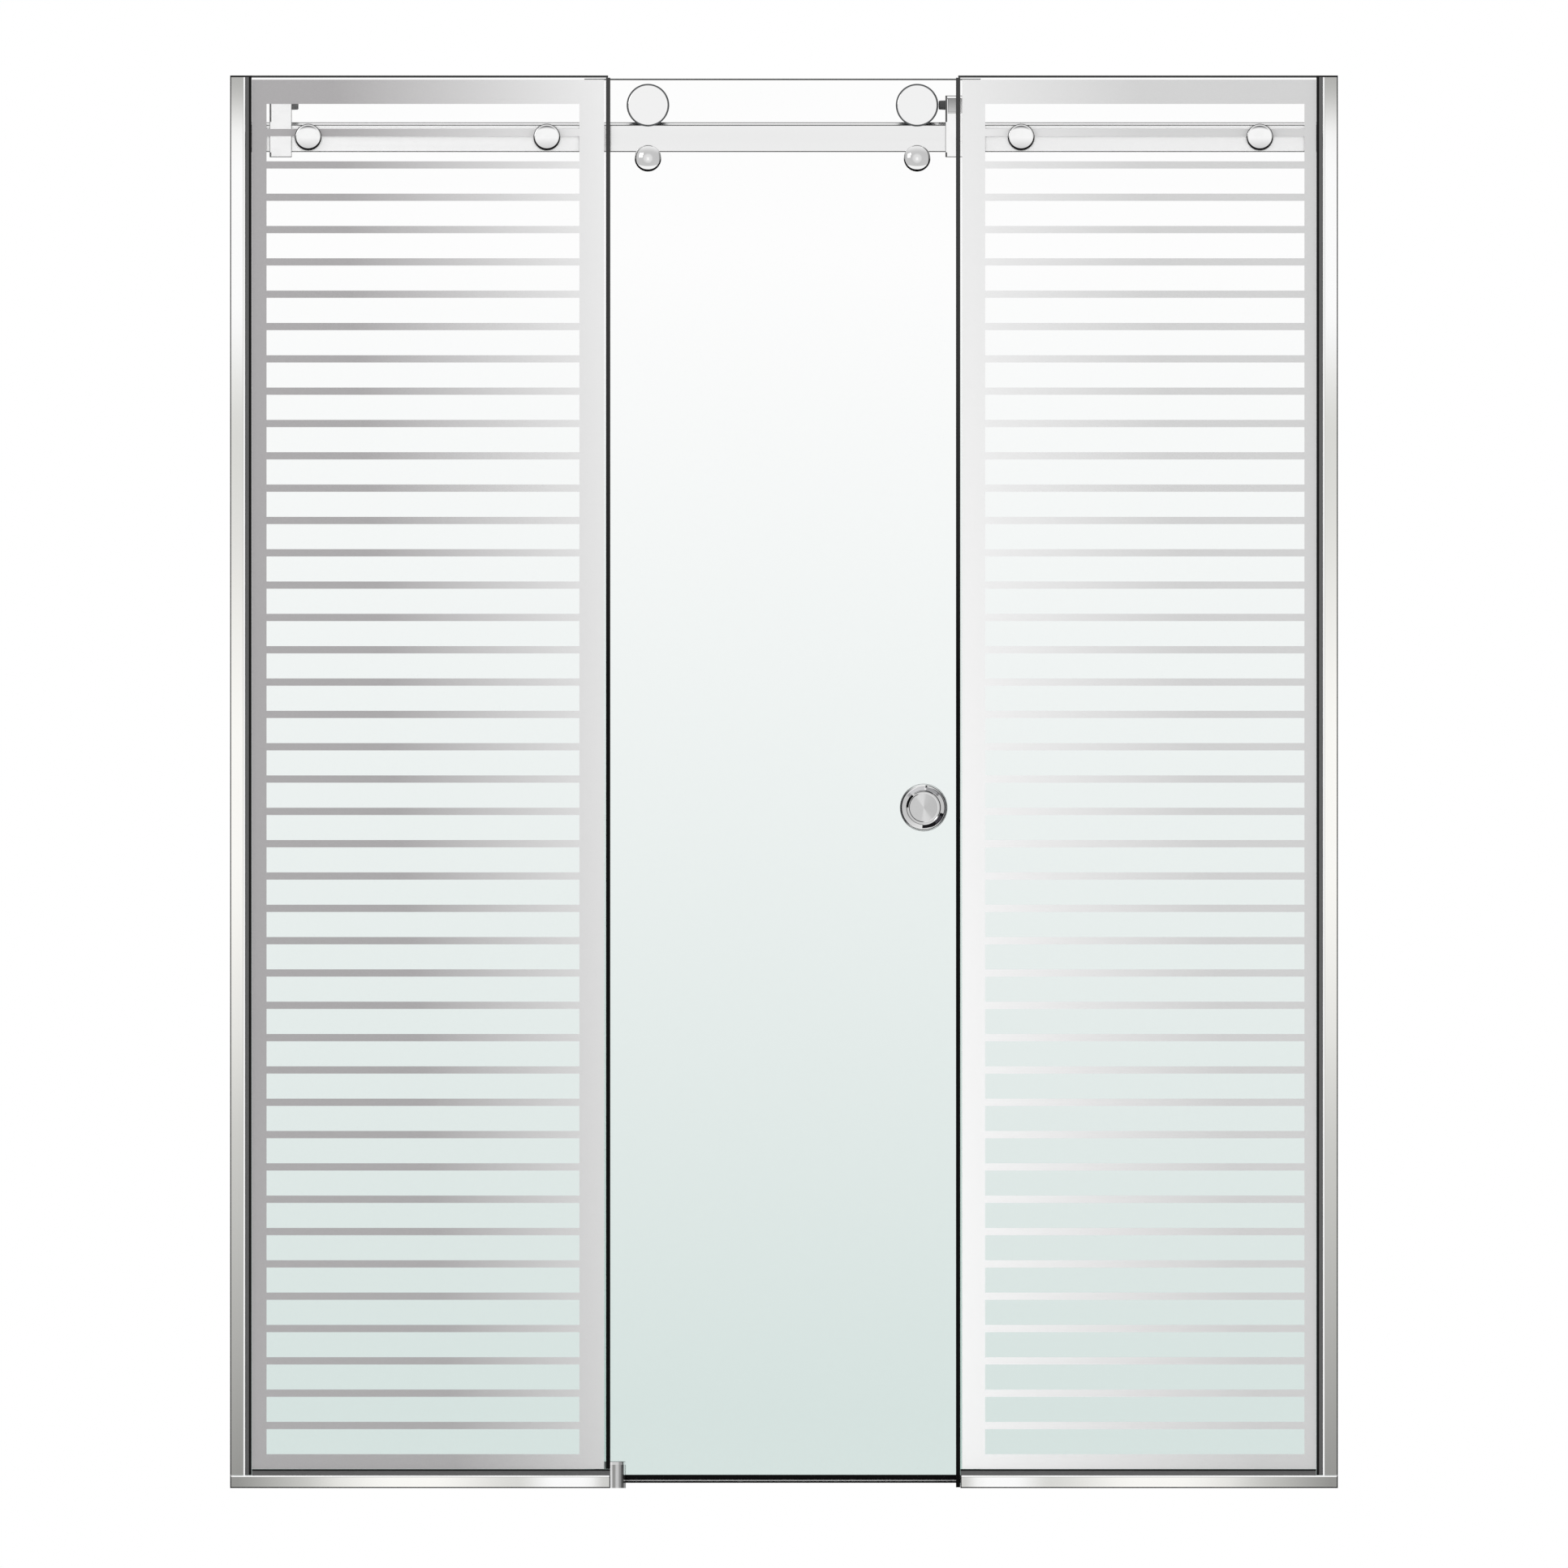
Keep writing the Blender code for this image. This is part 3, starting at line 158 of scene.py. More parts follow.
class EnamelSettings(bpy.types.PropertyGroup):
    """Finish of the satin enamel on the fixed panels."""

    # Painted sheen: each print lightens from its wall colour towards its free edge's colours, which run from
    # foot to head
    left_wall: colour_setting("Left, wall side", "Enamel of the left panel towards the wall", "A9A7A8")
    left_head: colour_setting("Left, free edge at head", "Enamel at the top of its free edge", "EAEAEA")
    left_foot: colour_setting("Left, free edge at foot", "Enamel at the foot of its free edge", "D5D5D5")
    right_wall: colour_setting("Right, wall side", "Enamel of the right panel towards the wall", "D0D0D0")
    right_head: colour_setting("Right, free edge at head", "Enamel at the top of its free edge", "E8E8E8")
    right_foot: colour_setting("Right, free edge at foot", "Enamel at the foot of its free edge", "FFFFFF")
    roughness: share_setting("Roughness", "Roughness of the satin enamel", 0.55)


class MetalSettings(bpy.types.PropertyGroup):
    """Finish of the aluminium, chrome and steel."""

    profile: colour_setting("Profile", "Polished aluminium of the wall profiles and sills", "DCDCD8")
    # Painted shade and painted light: darker and lighter copies of the profile colour, laid over the
    # profiles, sills and guide by place
    profile_shade: colour_setting("Profile shade", "The same aluminium where it reflects shade", "959592")
    profile_light: colour_setting("Profile light", "The same aluminium where it reflects light", "FDFCF8")
    rail: colour_setting("Rail", "Satin face of the rail", "FBFBFB")
    # Painted shade: thin dark lines along the rail's edges, for the dark that a sharp edge mirrors
    rail_edge_shade: colour_setting("Rail lines", "Thin dark lines along the rail's worked edges", "5C5C5C")
    chrome: colour_setting("Chrome", "Mirror chrome of caps, stops and guide", "F6F6F6")
    disc: colour_setting("Pull disc", "Spun face of the pull's inner disc", "E2E2E2")
    # Painted reflection: laid on the chrome of caps, knobs and guide where it would mirror the dark of the
    # room
    dark: colour_setting("Dark reflection", "Chrome where it reflects the dark of the room", "161617")
    steel: colour_setting("Steel", "Brushed stainless steel of screws and axles", "C9C9C7")
    bearing: colour_setting("Bearing steel", "Bright steel of the roller bearings", "B4B4B6")
    chrome_roughness: share_setting("Chrome roughness", "Roughness of clean chrome", 0.035)


class RubberSettings(bpy.types.PropertyGroup):
    """Finish of gaskets, seals and moulded plastics."""

    gasket: colour_setting("Gasket", "Dark rubber in the channels", "656565")
    gasket_edge: colour_setting("Gasket lip", "The gasket's lip against the glass", "141414")
    seal: colour_setting("Seal", "Black clip seals", "070707")
    # Painted light on the clip seals near the top; the fixing caps' washers take this as their own colour
    seal_head: colour_setting("Seal at head", "Clip seals near the top, where they catch the light", "444444")
    washer: colour_setting("Pull washer", "Grey rubber between the pull and the glass", "8A8A8C")
    bumper: colour_setting("Bumper", "Rubber buttons on the rail's stops", "4A4A4A")
    wheel: colour_setting("Wheel", "Acetal of the rollers", "55585A")
    nylon: colour_setting("Nylon", "Bushes, sleeves and the guide's liner", "D8D9D8")


class FittingSettings(bpy.types.PropertyGroup):
    """Fine sizes of the round fittings, beyond what the frame gives."""

    segments: bpy.props.IntProperty(
        name="Segments", description="Faces round each turned piece", min=24, max=192, default=96
    )
    cap_depth: length_setting("Fixing cap depth", "Depth of a fixing cap's head", 0.008)
    cap_round: length_setting("Fixing cap round", "Radius on a fixing cap's rim", 0.0012)
    cap_crown: length_setting("Fixing cap crown", "How far a fixing cap's face is domed", 0.0003)
    washer_lip: length_setting("Washer lip", "How far a washer shows round what it carries", 0.0005)
    wheel_cap_depth: length_setting("Roller cap depth", "Depth of a roller's front cap", 0.0037)
    wheel_cap_round: length_setting("Roller cap round", "Radius on a roller cap's rim", 0.0011)
    nut_round: length_setting("Nut round", "Radius on the rim of the nuts behind the door", 0.0020)
    pull_rim: length_setting("Pull rim", "Radius of the pull's bowl at its rim", 0.0278)
    pull_disc: length_setting("Pull disc", "Radius of the pull's inner disc", 0.0187)
    pull_floor: length_setting("Pull floor", "Depth of the pull's floor below the glass face", 0.0012)


class StageSettings(bpy.types.PropertyGroup):
    """Floor, light and camera."""

    floor: colour_setting("Floor", "Pale studio floor", "F2F2F2")
    sky: share_setting("Daylight", "Even level of light on the object", 0.94)
    key_power: power_setting("Key lamp", "Power of the lamp at the upper left", 8.5)
    fill_power: power_setting("Fill lamp", "Power of the lamp at the right", 6.0)
    view_width: length_setting("View width", "Width that the camera takes in", 2.109)
    view_height: length_setting("View height", "Height of the camera's axis above the floor", 0.947)
    view_distance: length_setting("View distance", "Distance of the camera from the screen", 6.0)


class ShowerScreenSettings(bpy.types.PropertyGroup):
    """All settings of the shower screen."""

    glass: bpy.props.PointerProperty(type=GlassSettings)
    enamel: bpy.props.PointerProperty(type=EnamelSettings)
    metal: bpy.props.PointerProperty(type=MetalSettings)
    rubber: bpy.props.PointerProperty(type=RubberSettings)
    fittings: bpy.props.PointerProperty(type=FittingSettings)
    stage: bpy.props.PointerProperty(type=StageSettings)


# Node trees


def plug(tree, value, socket):
    """Links a socket to another, or sets its value."""
    if isinstance(value, bpy.types.NodeSocket):
        tree.links.new(value, socket)
    elif socket.type == "RGBA":
        socket.default_value = (*value[:3], 1)
    else:
        socket.default_value = value


def filled(tree, node, **inputs):
    """Links or sets a node's inputs by name, and returns its outputs."""
    for label, value in inputs.items():
        plug(tree, value, node.inputs[label.replace("_", " ")])
    return node.outputs


def new_node(tree, kind, **inputs):
    """The outputs of a new node, with its inputs by name."""
    return filled(tree, tree.nodes.new(f"ShaderNode{kind}"), **inputs)


def math_node(tree, operation, *values):
    node = tree.nodes.new("ShaderNodeMath")
    node.operation = operation
    for value, socket in zip(values, node.inputs):
        plug(tree, value, socket)
    return node.outputs[0]


def joined(tree, operation, *values):
    """Several values joined two at a time, such as their product or the highest of them."""
    total = values[0]
    for value in values[1:]:
        total = math_node(tree, operation, total, value)
    return total


def mix_node(tree, factor, first, second):
    """Mixes two colours. The node's sockets for colours come after those for numbers and vectors."""
    node = tree.nodes.new("ShaderNodeMix")
    node.data_type = "RGBA"
    for value, number in ((factor, 0), (first, 6), (second, 7)):
        plug(tree, value, node.inputs[number])
    return node.outputs[2]


def range_node(tree, value, start, end, low=0.0, high=1.0, smooth=False):
    """Runs from low to high as the value goes from start to end."""
    node = tree.nodes.new("ShaderNodeMapRange")
    node.interpolation_type = "SMOOTHSTEP" if smooth else "LINEAR"
    ends = {"From_Min": start, "From_Max": end, "To_Min": low, "To_Max": high}
    return filled(tree, node, Value=value, **ends)["Result"]


def noise_node(tree, place, scale, detail=2.0, roughness=0.5):
    sizes = {"Scale": scale, "Detail": detail, "Roughness": roughness}
    return new_node(tree, "TexNoise", Vector=place, **sizes)["Fac"]


def new_group(name, inputs, outputs):
    """An empty node group with its ends. Inputs are {name: default}, and a default of None is a place."""
    tree = bpy.data.node_groups.new(name, "ShaderNodeTree")
    for label, default in inputs.items():
        kind = "NodeSocketFloat" if isinstance(default, float) else "NodeSocketVector"
        socket = tree.interface.new_socket(label, in_out="INPUT", socket_type=kind)
        if default is not None:
            socket.default_value = default
    for label in outputs:
        tree.interface.new_socket(label, in_out="OUTPUT", socket_type="NodeSocketFloat")
    return tree, tree.nodes.new("NodeGroupInput").outputs, tree.nodes.new("NodeGroupOutput").inputs


def make_band_group():
    """Soft band: 1 where a value lies within the half width of a centre, fading over the softness."""
    inputs = {"Value": 0.0, "Centre": 0.0, "Half Width": 0.01, "Softness": 0.01}
    tree, given, result = new_group("soft_band", inputs, ["Mask"])
    away = math_node(tree, "ABSOLUTE", math_node(tree, "SUBTRACT", given["Value"], given["Centre"]))
    outer = math_node(tree, "ADD", given["Half Width"], given["Softness"])
    plug(tree, range_node(tree, away, given["Half Width"], outer, 1.0, 0.0, smooth=True), result["Mask"])


def make_grain_group():
    """Drawn grain: streaks stretched along the direction in which the metal was worked."""
    inputs = {"Vector": None, "Stretch": (1, 1, 1), "Scale": 900.0}
    tree, given, result = new_group("drawn_grain", inputs, ["Streaks", "Height"])
    broad_scale, fine_share, broad_share, low, high = 0.2, 0.65, 0.35, 0.3, 0.7
    place = new_node(tree, "Mapping", Vector=given["Vector"], Scale=given["Stretch"])["Vector"]
    fine = noise_node(tree, place, given["Scale"], detail=3.0, roughness=0.6)
    broad = noise_node(tree, place, math_node(tree, "MULTIPLY", given["Scale"], broad_scale))
    parts = [math_node(tree, "MULTIPLY", *part) for part in ((fine, fine_share), (broad, broad_share))]
    both = math_node(tree, "ADD", *parts)
    plug(tree, range_node(tree, both, low, high), result["Streaks"])
    plug(tree, both, result["Height"])


def make_spot_group():
    """Dried drops: small round marks in some of the cells of a scattered pattern."""
    inputs = {"Vector": None, "Scale": 55.0, "Radius": 0.1, "Share": 0.3}
    tree, given, result = new_group("dried_drops", inputs, ["Mask"])
    rim_share = 1.25
    cells = new_node(tree, "TexVoronoi", Vector=given["Vector"], Scale=given["Scale"])
    outer = math_node(tree, "MULTIPLY", given["Radius"], rim_share)
    ring = range_node(tree, cells["Distance"], given["Radius"], outer, 1.0, 0.0, smooth=True)
    chosen = new_node(tree, "SeparateColor", Color=cells["Color"])["Red"]
    kept = math_node(tree, "LESS_THAN", chosen, given["Share"])
    plug(tree, math_node(tree, "MULTIPLY", ring, kept), result["Mask"])


def make_smudge_group():
    """Handling marks: broad, faint changes of gloss, broken up by fine ones."""
    tree, given, result = new_group("handling_marks", {"Vector": None, "Scale": 40.0}, ["Mask"])
    fine_scale, marked_from, marked_to = 14.0, 0.42, 0.66
    broad = noise_node(tree, given["Vector"], given["Scale"], detail=3.0, roughness=0.55)
    fine = noise_node(tree, given["Vector"], math_node(tree, "MULTIPLY", given["Scale"], fine_scale))
    worn = math_node(tree, "MULTIPLY", range_node(tree, broad, marked_from, marked_to, smooth=True), fine)
    plug(tree, worn, result["Mask"])


def place_group(tree, name, **inputs):
    """Places a node group, with its inputs by name, and returns its outputs."""
    node = tree.nodes.new("ShaderNodeGroup")
    node.node_tree = bpy.data.node_groups[name]
    return filled(tree, node, **inputs)


def band_mask(tree, value, centre, half_width, softness):
    """1 in a soft band about a centre."""
    sizes = {"Centre": centre, "Half_Width": half_width, "Softness": softness}
    return place_group(tree, "soft_band", Value=value, **sizes)["Mask"]


class Finish:
    """A new material and what its pattern is built from: its tree, shader and place on the object."""

    def __init__(self, name, roughness, metallic=0.0, **plain):
        self.material = bpy.data.materials.new(name)
        self.material.use_nodes = True
        self.tree = self.material.node_tree
        self.shader = self.tree.nodes["Principled BSDF"]
        filled(self.tree, self.shader, Metallic=metallic, Roughness=roughness, **plain)
        self.place = new_node(self.tree, "TexCoord")["Object"]
        self.x, self.y, self.z = new_node(self.tree, "SeparateXYZ", Vector=self.place)
        self.colour = None

    def calc(self, operation, *values):
        return math_node(self.tree, operation, *values)

    def ramp(self, value, start, end, low=0.0, high=1.0, smooth=False):
        return range_node(self.tree, value, start, end, low, high, smooth)

    def within(self, value, limit, fade):
        """1 where a value is under a limit, fading out just beyond it."""
        return self.ramp(value, limit, limit + fade, 1.0, 0.0)

    def beyond(self, value, limit, fade):
        """1 where a value is well over a limit, fading in from it."""
        return self.ramp(value, limit, limit + fade)

    def strip(self, value, start, end, softness=HARD_EDGE):
        """1 from one value to another."""
        return band_mask(self.tree, value, (start + end) / 2, (end - start) / 2, softness)

    def noise(self, scale, detail=2.0, stretch=(1, 1, 1)):
        place = new_node(self.tree, "Mapping", Vector=self.place, Scale=stretch)["Vector"]
        return noise_node(self.tree, place, scale, detail)

    def effect(self, name, **inputs):
        return place_group(self.tree, name, Vector=self.place, **inputs)

    def base(self, factor, first, second):
        """Makes the base colour a mix of two colours."""
        self.colour = mix_node(self.tree, factor, first, second)

    def tint(self, factor, colour):
        """Lays a colour over the base colour by a mask."""
        self.base(factor, self.colour, colour)

    def mask(self, colour, *factors):
        """Lays a colour over the base colour where all of several masks hold."""
        self.tint(joined(self.tree, "MULTIPLY", *factors), colour)

    def band(self, value, centre, half_width, softness, colour, strength=1.0):
        """Lays a colour over the base colour in a soft band."""
        self.mask(colour, band_mask(self.tree, value, centre, half_width, softness), strength)

    def line(self, value, start, end, colour, strength=1.0):
        """Lays a thin hard line over the base colour, from one value to another."""
        self.mask(colour, self.strip(value, start, end), strength)

    def outline(self, value, start, end):
        """Lays a dark line along an edge of a channel's front and back faces."""
        face_start, face_end = 0.93, 0.97
        depth = self.ramp(self.y, CHANNEL_FRONT, CHANNEL_BACK, -1.0, 1.0)
        face = self.ramp(self.calc("ABSOLUTE", depth), face_start, face_end)
        self.mask(OUTLINE_BLACK, face, self.strip(value, start, end))

    def width(self):
        """Distance from the screen's middle."""
        return self.calc("ABSOLUTE", self.x)

    def offset(self, centre):
        """How far to the right of a centre and above it, in the front view."""
        return self.calc("SUBTRACT", self.x, centre.x), self.calc("SUBTRACT", self.z, centre.z)

    def reach(self, across, up, height=0.0):
        """Distance from a point that lies a height above the place that the offsets are measured from."""
        squares = [self.calc("MULTIPLY", side, side) for side in (across, self.calc("SUBTRACT", up, height))]
        return self.calc("SQRT", self.calc("ADD", *squares))

    def turn_and_reach(self, centre):
        """Angle about a centre, in radians from the right, up over the top, and distance from it."""
        across, up = self.offset(centre)
        return self.calc("ARCTAN2", up, across), self.reach(across, up)

    def bump(self, height, strength, distance):
        bumped = new_node(self.tree, "Bump", Strength=strength, Distance=distance, Height=height)
        filled(self.tree, self.shader, Normal=bumped["Normal"])

    def rough(self, mask, low, high):
        """Lets the roughness run from low to high with a mask."""
        filled(self.tree, self.shader, Roughness=self.ramp(mask, 0.0, 1.0, low, high))

    def done(self):
        filled(self.tree, self.shader, Base_Color=self.colour)
        return self.material


def glass_finish(name, settings, top, line):
    """Clear toughened glass with a green tint and painted shade that darkens it towards the floor, and a
    painted dark line on its top edge.
    Its shadow is thinned, so that light reaches what stands behind it."""
    made = Finish(name, settings.roughness, Transmission_Weight=1.0, IOR=1.5)
    green_foot, clear_head, shadow_share, drop_haze = 0.1, 1.66, 0.12, 0.03
    # Green tint with painted shade, darker from the head down to the foot
    made.base(made.ramp(made.z, green_foot, clear_head), settings.foot, settings.head)
    # Painted reflection: a dark line along the top edge
    made.line(made.z, top - line, top + line, settings.edge)
    shadow = new_node(made.tree, "LightPath")["Is Shadow Ray"]
    filled(made.tree, made.shader, Alpha=made.ramp(shadow, 0.0, 1.0, 1.0, shadow_share))
    drops = made.effect("dried_drops", Scale=45.0, Radius=0.09, Share=0.12)["Mask"]
    made.rough(drops, settings.roughness, settings.roughness + drop_haze)
    return made.done()


# How far from the screen's middle the painted sheen on each print starts to lighten it, at its head and at
# its foot
ENAMEL_STARTS = {"left": (0.607, 0.438), "right": (0.474, 0.648)}


def enamel_finish(side, settings):
    """Satin enamel with a painted sheen that lightens it from the wall towards the panel's free edge, and
    painted light near the floor.
    """
    wall, head, foot = (getattr(settings, f"{side}_{end}") for end in ("wall", "head", "foot"))
    head_start, foot_start = ENAMEL_STARTS[side]
    foot_reach, painted_foot_light, uneven = 0.6, 0.09, 0.08
    speckle_from, speckle_to, speckle_light = 0.45, 0.8, 0.07
    low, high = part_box(f"frosted_print_{side}")
    outwards, free_edge = (-1.0, -high.x) if side == "left" else (1.0, low.x)
    made = Finish(f"satin_enamel_{side}", settings.roughness, Specular_IOR_Level=0.25)
    height = made.ramp(made.z, 0.0, PANEL_TOP)
    start = made.ramp(height, 0.0, 1.0, foot_start, head_start)
    towards_edge = made.ramp(made.calc("MULTIPLY", made.x, outwards), start, free_edge)
    # Painted sheen from the wall colour towards the free edge
    made.base(towards_edge, wall, mix_node(made.tree, height, foot, head))
    # Painted light near the floor, where less light reaches the enamel
    made.tint(made.ramp(made.z, foot_reach, 0.0, 0.0, painted_foot_light), WHITE)
    speckle = made.noise(scale=1400.0)
    made.tint(made.ramp(speckle, speckle_from, speckle_to, 0.0, speckle_light), WHITE)
    made.rough(speckle, settings.roughness - uneven, settings.roughness + uneven)
    made.bump(speckle, strength=0.15, distance=0.0002)
    return made.done()


def finish_worked_aluminium(made, stretch, polished=0.08, dull=0.16):
    """Faint die lines along a drawn section, in its colour, gloss and surface."""
    line_grey, line_share = (0.35, 0.35, 0.35), 0.05
    grain = made.effect("drawn_grain", Stretch=stretch, Scale=1.0)
    made.tint(made.ramp(grain["Streaks"], 0.0, 1.0, line_share, 0.0), line_grey)
    made.rough(grain["Streaks"], polished, dull)
    made.bump(grain["Height"], strength=0.12, distance=0.0002)


def profile_finish(settings):
    """Polished wall profile: painted shade at its foot and top, two broad painted lights up its height, a
    painted highlight and shade line at its mouth, and dark lines along its outer and top edges.
    """
    made = Finish("profile_aluminium", roughness=0.1, metallic=1.0)
    light, shade = settings.profile_light, settings.profile_shade
    shade_end, lip, groove, outer_line, top_line = 0.62, 0.0024, 0.0030, 0.0014, 0.0024
    # Painted shade: darker towards the foot
    made.base(made.ramp(made.z, 0.0, shade_end), shade, settings.profile)
    groove_share = 0.6
    # Middle, half width, softness, colour and strength of each painted light or painted shade up its height
    lights = ((0.93, 0.06, 0.42, light), (1.68, 0.08, 0.19, WHITE), (PANEL_TOP, 0.0, 0.085, shade, 0.66))
    for band in lights:
        made.band(made.z, *band)
    finish_worked_aluminium(made, (320.0, 320.0, 1.6))
    width = made.width()
    # Painted highlight along the mouth's edge, and a painted shade line beside it
    made.line(width, PROFILE_MOUTH, PROFILE_MOUTH + lip, WHITE)
    made.line(width, PROFILE_MOUTH + lip, PROFILE_MOUTH + groove, shade, groove_share)
    made.outline(width, SCREEN_HALF - outer_line, SCREEN_HALF + OVERRUN)
    made.outline(made.z, PANEL_TOP - top_line, PANEL_TOP + OVERRUN)
    return made.done()


def sill_finish(settings):
    """Polished sill: painted shade at the wall and near its free end, two painted lights along its length,
    and a painted highlight and shade line along its top.
    """
    made = Finish("sill_aluminium", roughness=0.1, metallic=1.0)
    light, shade = settings.profile_light, settings.profile_shade
    (left_end, right_end), shade_start, shade_end = SILL_ENDS, 0.60, 0.735
    lip, groove, groove_share = 0.0020, 0.0026, 0.6
    foot_line, outer_line, end_line = 0.0015, 0.0014, 0.0013
    width = made.width()
    # Painted shade: darker towards the wall
    made.base(made.ramp(width, shade_start, shade_end), settings.profile, shade)
    # Middle, half width, softness, colour and strength of each painted light or painted shade along it
    lights = ((0.50, 0.02, 0.13, light), (0.292, 0.014, 0.055, WHITE), (right_end, 0.004, 0.02, shade, 0.3))
    for band in lights:
        made.band(width, *band)
    finish_worked_aluminium(made, (1.6, 320.0, 320.0))
    # Painted highlight along the top edge, and a painted shade line below it
    made.line(made.z, SILL_TOP - lip, SILL_TOP + OVERRUN, WHITE)
    made.line(made.z, SILL_TOP - groove, SILL_TOP - lip, shade, groove_share)
    made.outline(made.z, -OVERRUN, foot_line)
    made.outline(width, SCREEN_HALF - outer_line, SCREEN_HALF + OVERRUN)
    made.outline(made.x, left_end - end_line, left_end + OVERRUN)
    made.outline(made.x, right_end - OVERRUN, right_end + end_line)
    return made.done()


def rail_finish(settings):
    """Satin rail with thin lines of painted shade along its edges."""
    made = Finish("rail_aluminium", roughness=0.22, metallic=1.0)
    made.colour = settings.rail
    finish_worked_aluminium(made, (1.2, 420.0, 420.0), polished=0.19, dull=0.25)
    chamfer_foot = RAIL_HIGH.z - RAIL_CHAMFER
    # Each painted shade line's lower and upper side, and its strength
    for start, end, strength in (
        (RAIL_HIGH.z - 0.0011, RAIL_HIGH.z + OVERRUN, 0.85),
        (chamfer_foot - 0.0006, chamfer_foot + 0.0007, 0.95),
        (RAIL_LOW.z - OVERRUN, RAIL_LOW.z + 0.0013, 1.0),
    ):
        made.line(made.z, start, end, settings.rail_edge_shade, strength)
    return made.done()


def gasket_finish(settings, sill):
    """Dark rubber gasket whose lip against the glass is near black."""
    name = "sill_gasket_rubber" if sill else "wall_gasket_rubber"
    made = Finish(name, roughness=0.6, Specular_IOR_Level=0.12)
    sill_lip, wall_lip, top_line, lip = 0.0023, 0.0037, 0.0022, settings.gasket_edge
    speckle_shade = 0.93
    speckle = made.noise(scale=700.0, detail=3.0)
    made.base(speckle, scaled(settings.gasket, speckle_shade), settings.gasket)
    if sill:
        made.line(made.z, SILL_GASKET_TOP - sill_lip, SILL_GASKET_TOP + OVERRUN, lip)
    else:
        made.line(made.width(), GASKET_EDGE - OVERRUN, GASKET_EDGE + wall_lip, lip)
        made.line(made.z, PANEL_TOP - top_line, PANEL_TOP + OVERRUN, lip)
    made.rough(speckle, low=0.5, high=0.72)
    made.bump(speckle, strength=0.2, distance=0.0003)
    return made.done()


def seal_finish(settings, foot=False):
    """Black clip seals, with painted light that makes them paler near the top. The door's foot seal has a
    pale lip line.
    """
    name = "foot_seal_rubber" if foot else "clip_seal_rubber"
    made = Finish(name, roughness=0.5, Specular_IOR_Level=0.06)
    painted_light_from, line_start, line_end = 1.10, 0.0095, 0.0110
    speckle_from, speckle_to, speckle_light, speckle_grey = 0.4, 0.8, 0.07, (0.03, 0.03, 0.033)
    # Painted light: the seals grow paler up to the top
    made.base(made.ramp(made.z, painted_light_from, PANEL_TOP), settings.seal, settings.seal_head)
    speckle = made.noise(scale=600.0, detail=3.0, stretch=(1, 1, 0.05))
    made.tint(made.ramp(speckle, speckle_from, speckle_to, 0.0, speckle_light), speckle_grey)
    if foot:
        made.line(made.z, line_start, line_end, WHITE)
    made.rough(speckle, low=0.42, high=0.62)
    made.bump(speckle, strength=0.15, distance=0.0002)
    return made.done()


def plastic_finish(name, colour, roughness=0.38):
    """Moulded plastic with a fine spark texture and faint flow shading."""
    made = Finish(name, roughness)
    flow_shade, smoother, duller = 0.9, 0.07, 0.08
    made.base(made.noise(scale=55.0, detail=3.0), scaled(colour, flow_shade), colour)
    spark = made.noise(scale=2400.0)
    made.rough(spark, roughness - smoother, roughness + duller)
    made.bump(spark, strength=0.18, distance=0.0001)
    return made.done()


def chrome_base(name, metal, roughness=None):
    """Mirror chrome with faint handling marks and dried drops in its gloss."""
    clean = metal.chrome_roughness if roughness is None else roughness
    made = Finish(name, clean, metallic=1.0)
    drop_share, mark_shade, mark_haze = 0.7, 0.95, 0.05
    smudge = made.effect("handling_marks", Scale=60.0)["Mask"]
    drops = made.effect("dried_drops", Scale=240.0, Radius=0.13, Share=0.1)["Mask"]
    marks = made.calc("MAXIMUM", smudge, made.calc("MULTIPLY", drops, drop_share))
    made.base(marks, metal.chrome, scaled(metal.chrome, mark_shade))
    made.rough(marks, clean, clean + mark_haze)
    return made


def brushed_finish(name, colour, roughness):
    """Brushed steel with short streaks."""
    made = Finish(name, roughness, metallic=1.0)
    streak_shade, smoother, duller = 0.85, 0.06, 0.08
    grain = made.effect("drawn_grain", Stretch=(1500.0, 1500.0, 30.0), Scale=1.0)
    made.base(grain["Streaks"], scaled(colour, streak_shade), colour)
    made.rough(grain["Streaks"], roughness - smoother, roughness + duller)
    made.bump(grain["Height"], strength=0.2, distance=0.0002)
    return made.done()


def spun_disc_finish(name, colour, centre):
    """Steel disc spun on a lathe: fine rings, two painted fans of light that turn about its centre, and
    painted shade on its right.
    """
    made = Finish(name, roughness=0.3, metallic=1.0)
    rings_per_metre, ring_drift, ring_low, ring_high, ring_shade = 5200.0, 1.5, 0.35, 0.65, 0.16
    fan_angle, fan_count, fan_from, painted_fan_light, painted_right_shade = 1.82, 2.0, 0.5, 1.22, 0.2
    dim = scaled(colour, 0.5)
    turn, radius = made.turn_and_reach(centre)
    outwards, drift = made.calc("MULTIPLY", radius, rings_per_metre), made.calc("MULTIPLY", turn, ring_drift)
    rings = noise_node(made.tree, new_node(made.tree, "CombineXYZ", X=outwards, Y=drift)["Vector"], 1.0)
    from_fan = made.calc("SUBTRACT", turn, fan_angle)
    fans = made.calc("COSINE", made.calc("MULTIPLY", from_fan, fan_count))
    # Painted highlights: two fans of light about the centre
    made.base(made.ramp(fans, fan_from, 1.0, smooth=True), colour, scaled(colour, painted_fan_light))
    # Painted shade on the right of the disc
    made.tint(made.ramp(made.calc("COSINE", turn), 0.0, 1.0, 0.0, painted_right_shade, smooth=True), dim)
    made.tint(made.ramp(rings, ring_low, ring_high, ring_shade, 0.0), dim)
    made.rough(rings, low=0.24, high=0.36)
    made.bump(rings, strength=0.12, distance=0.0001)
    return made.done()


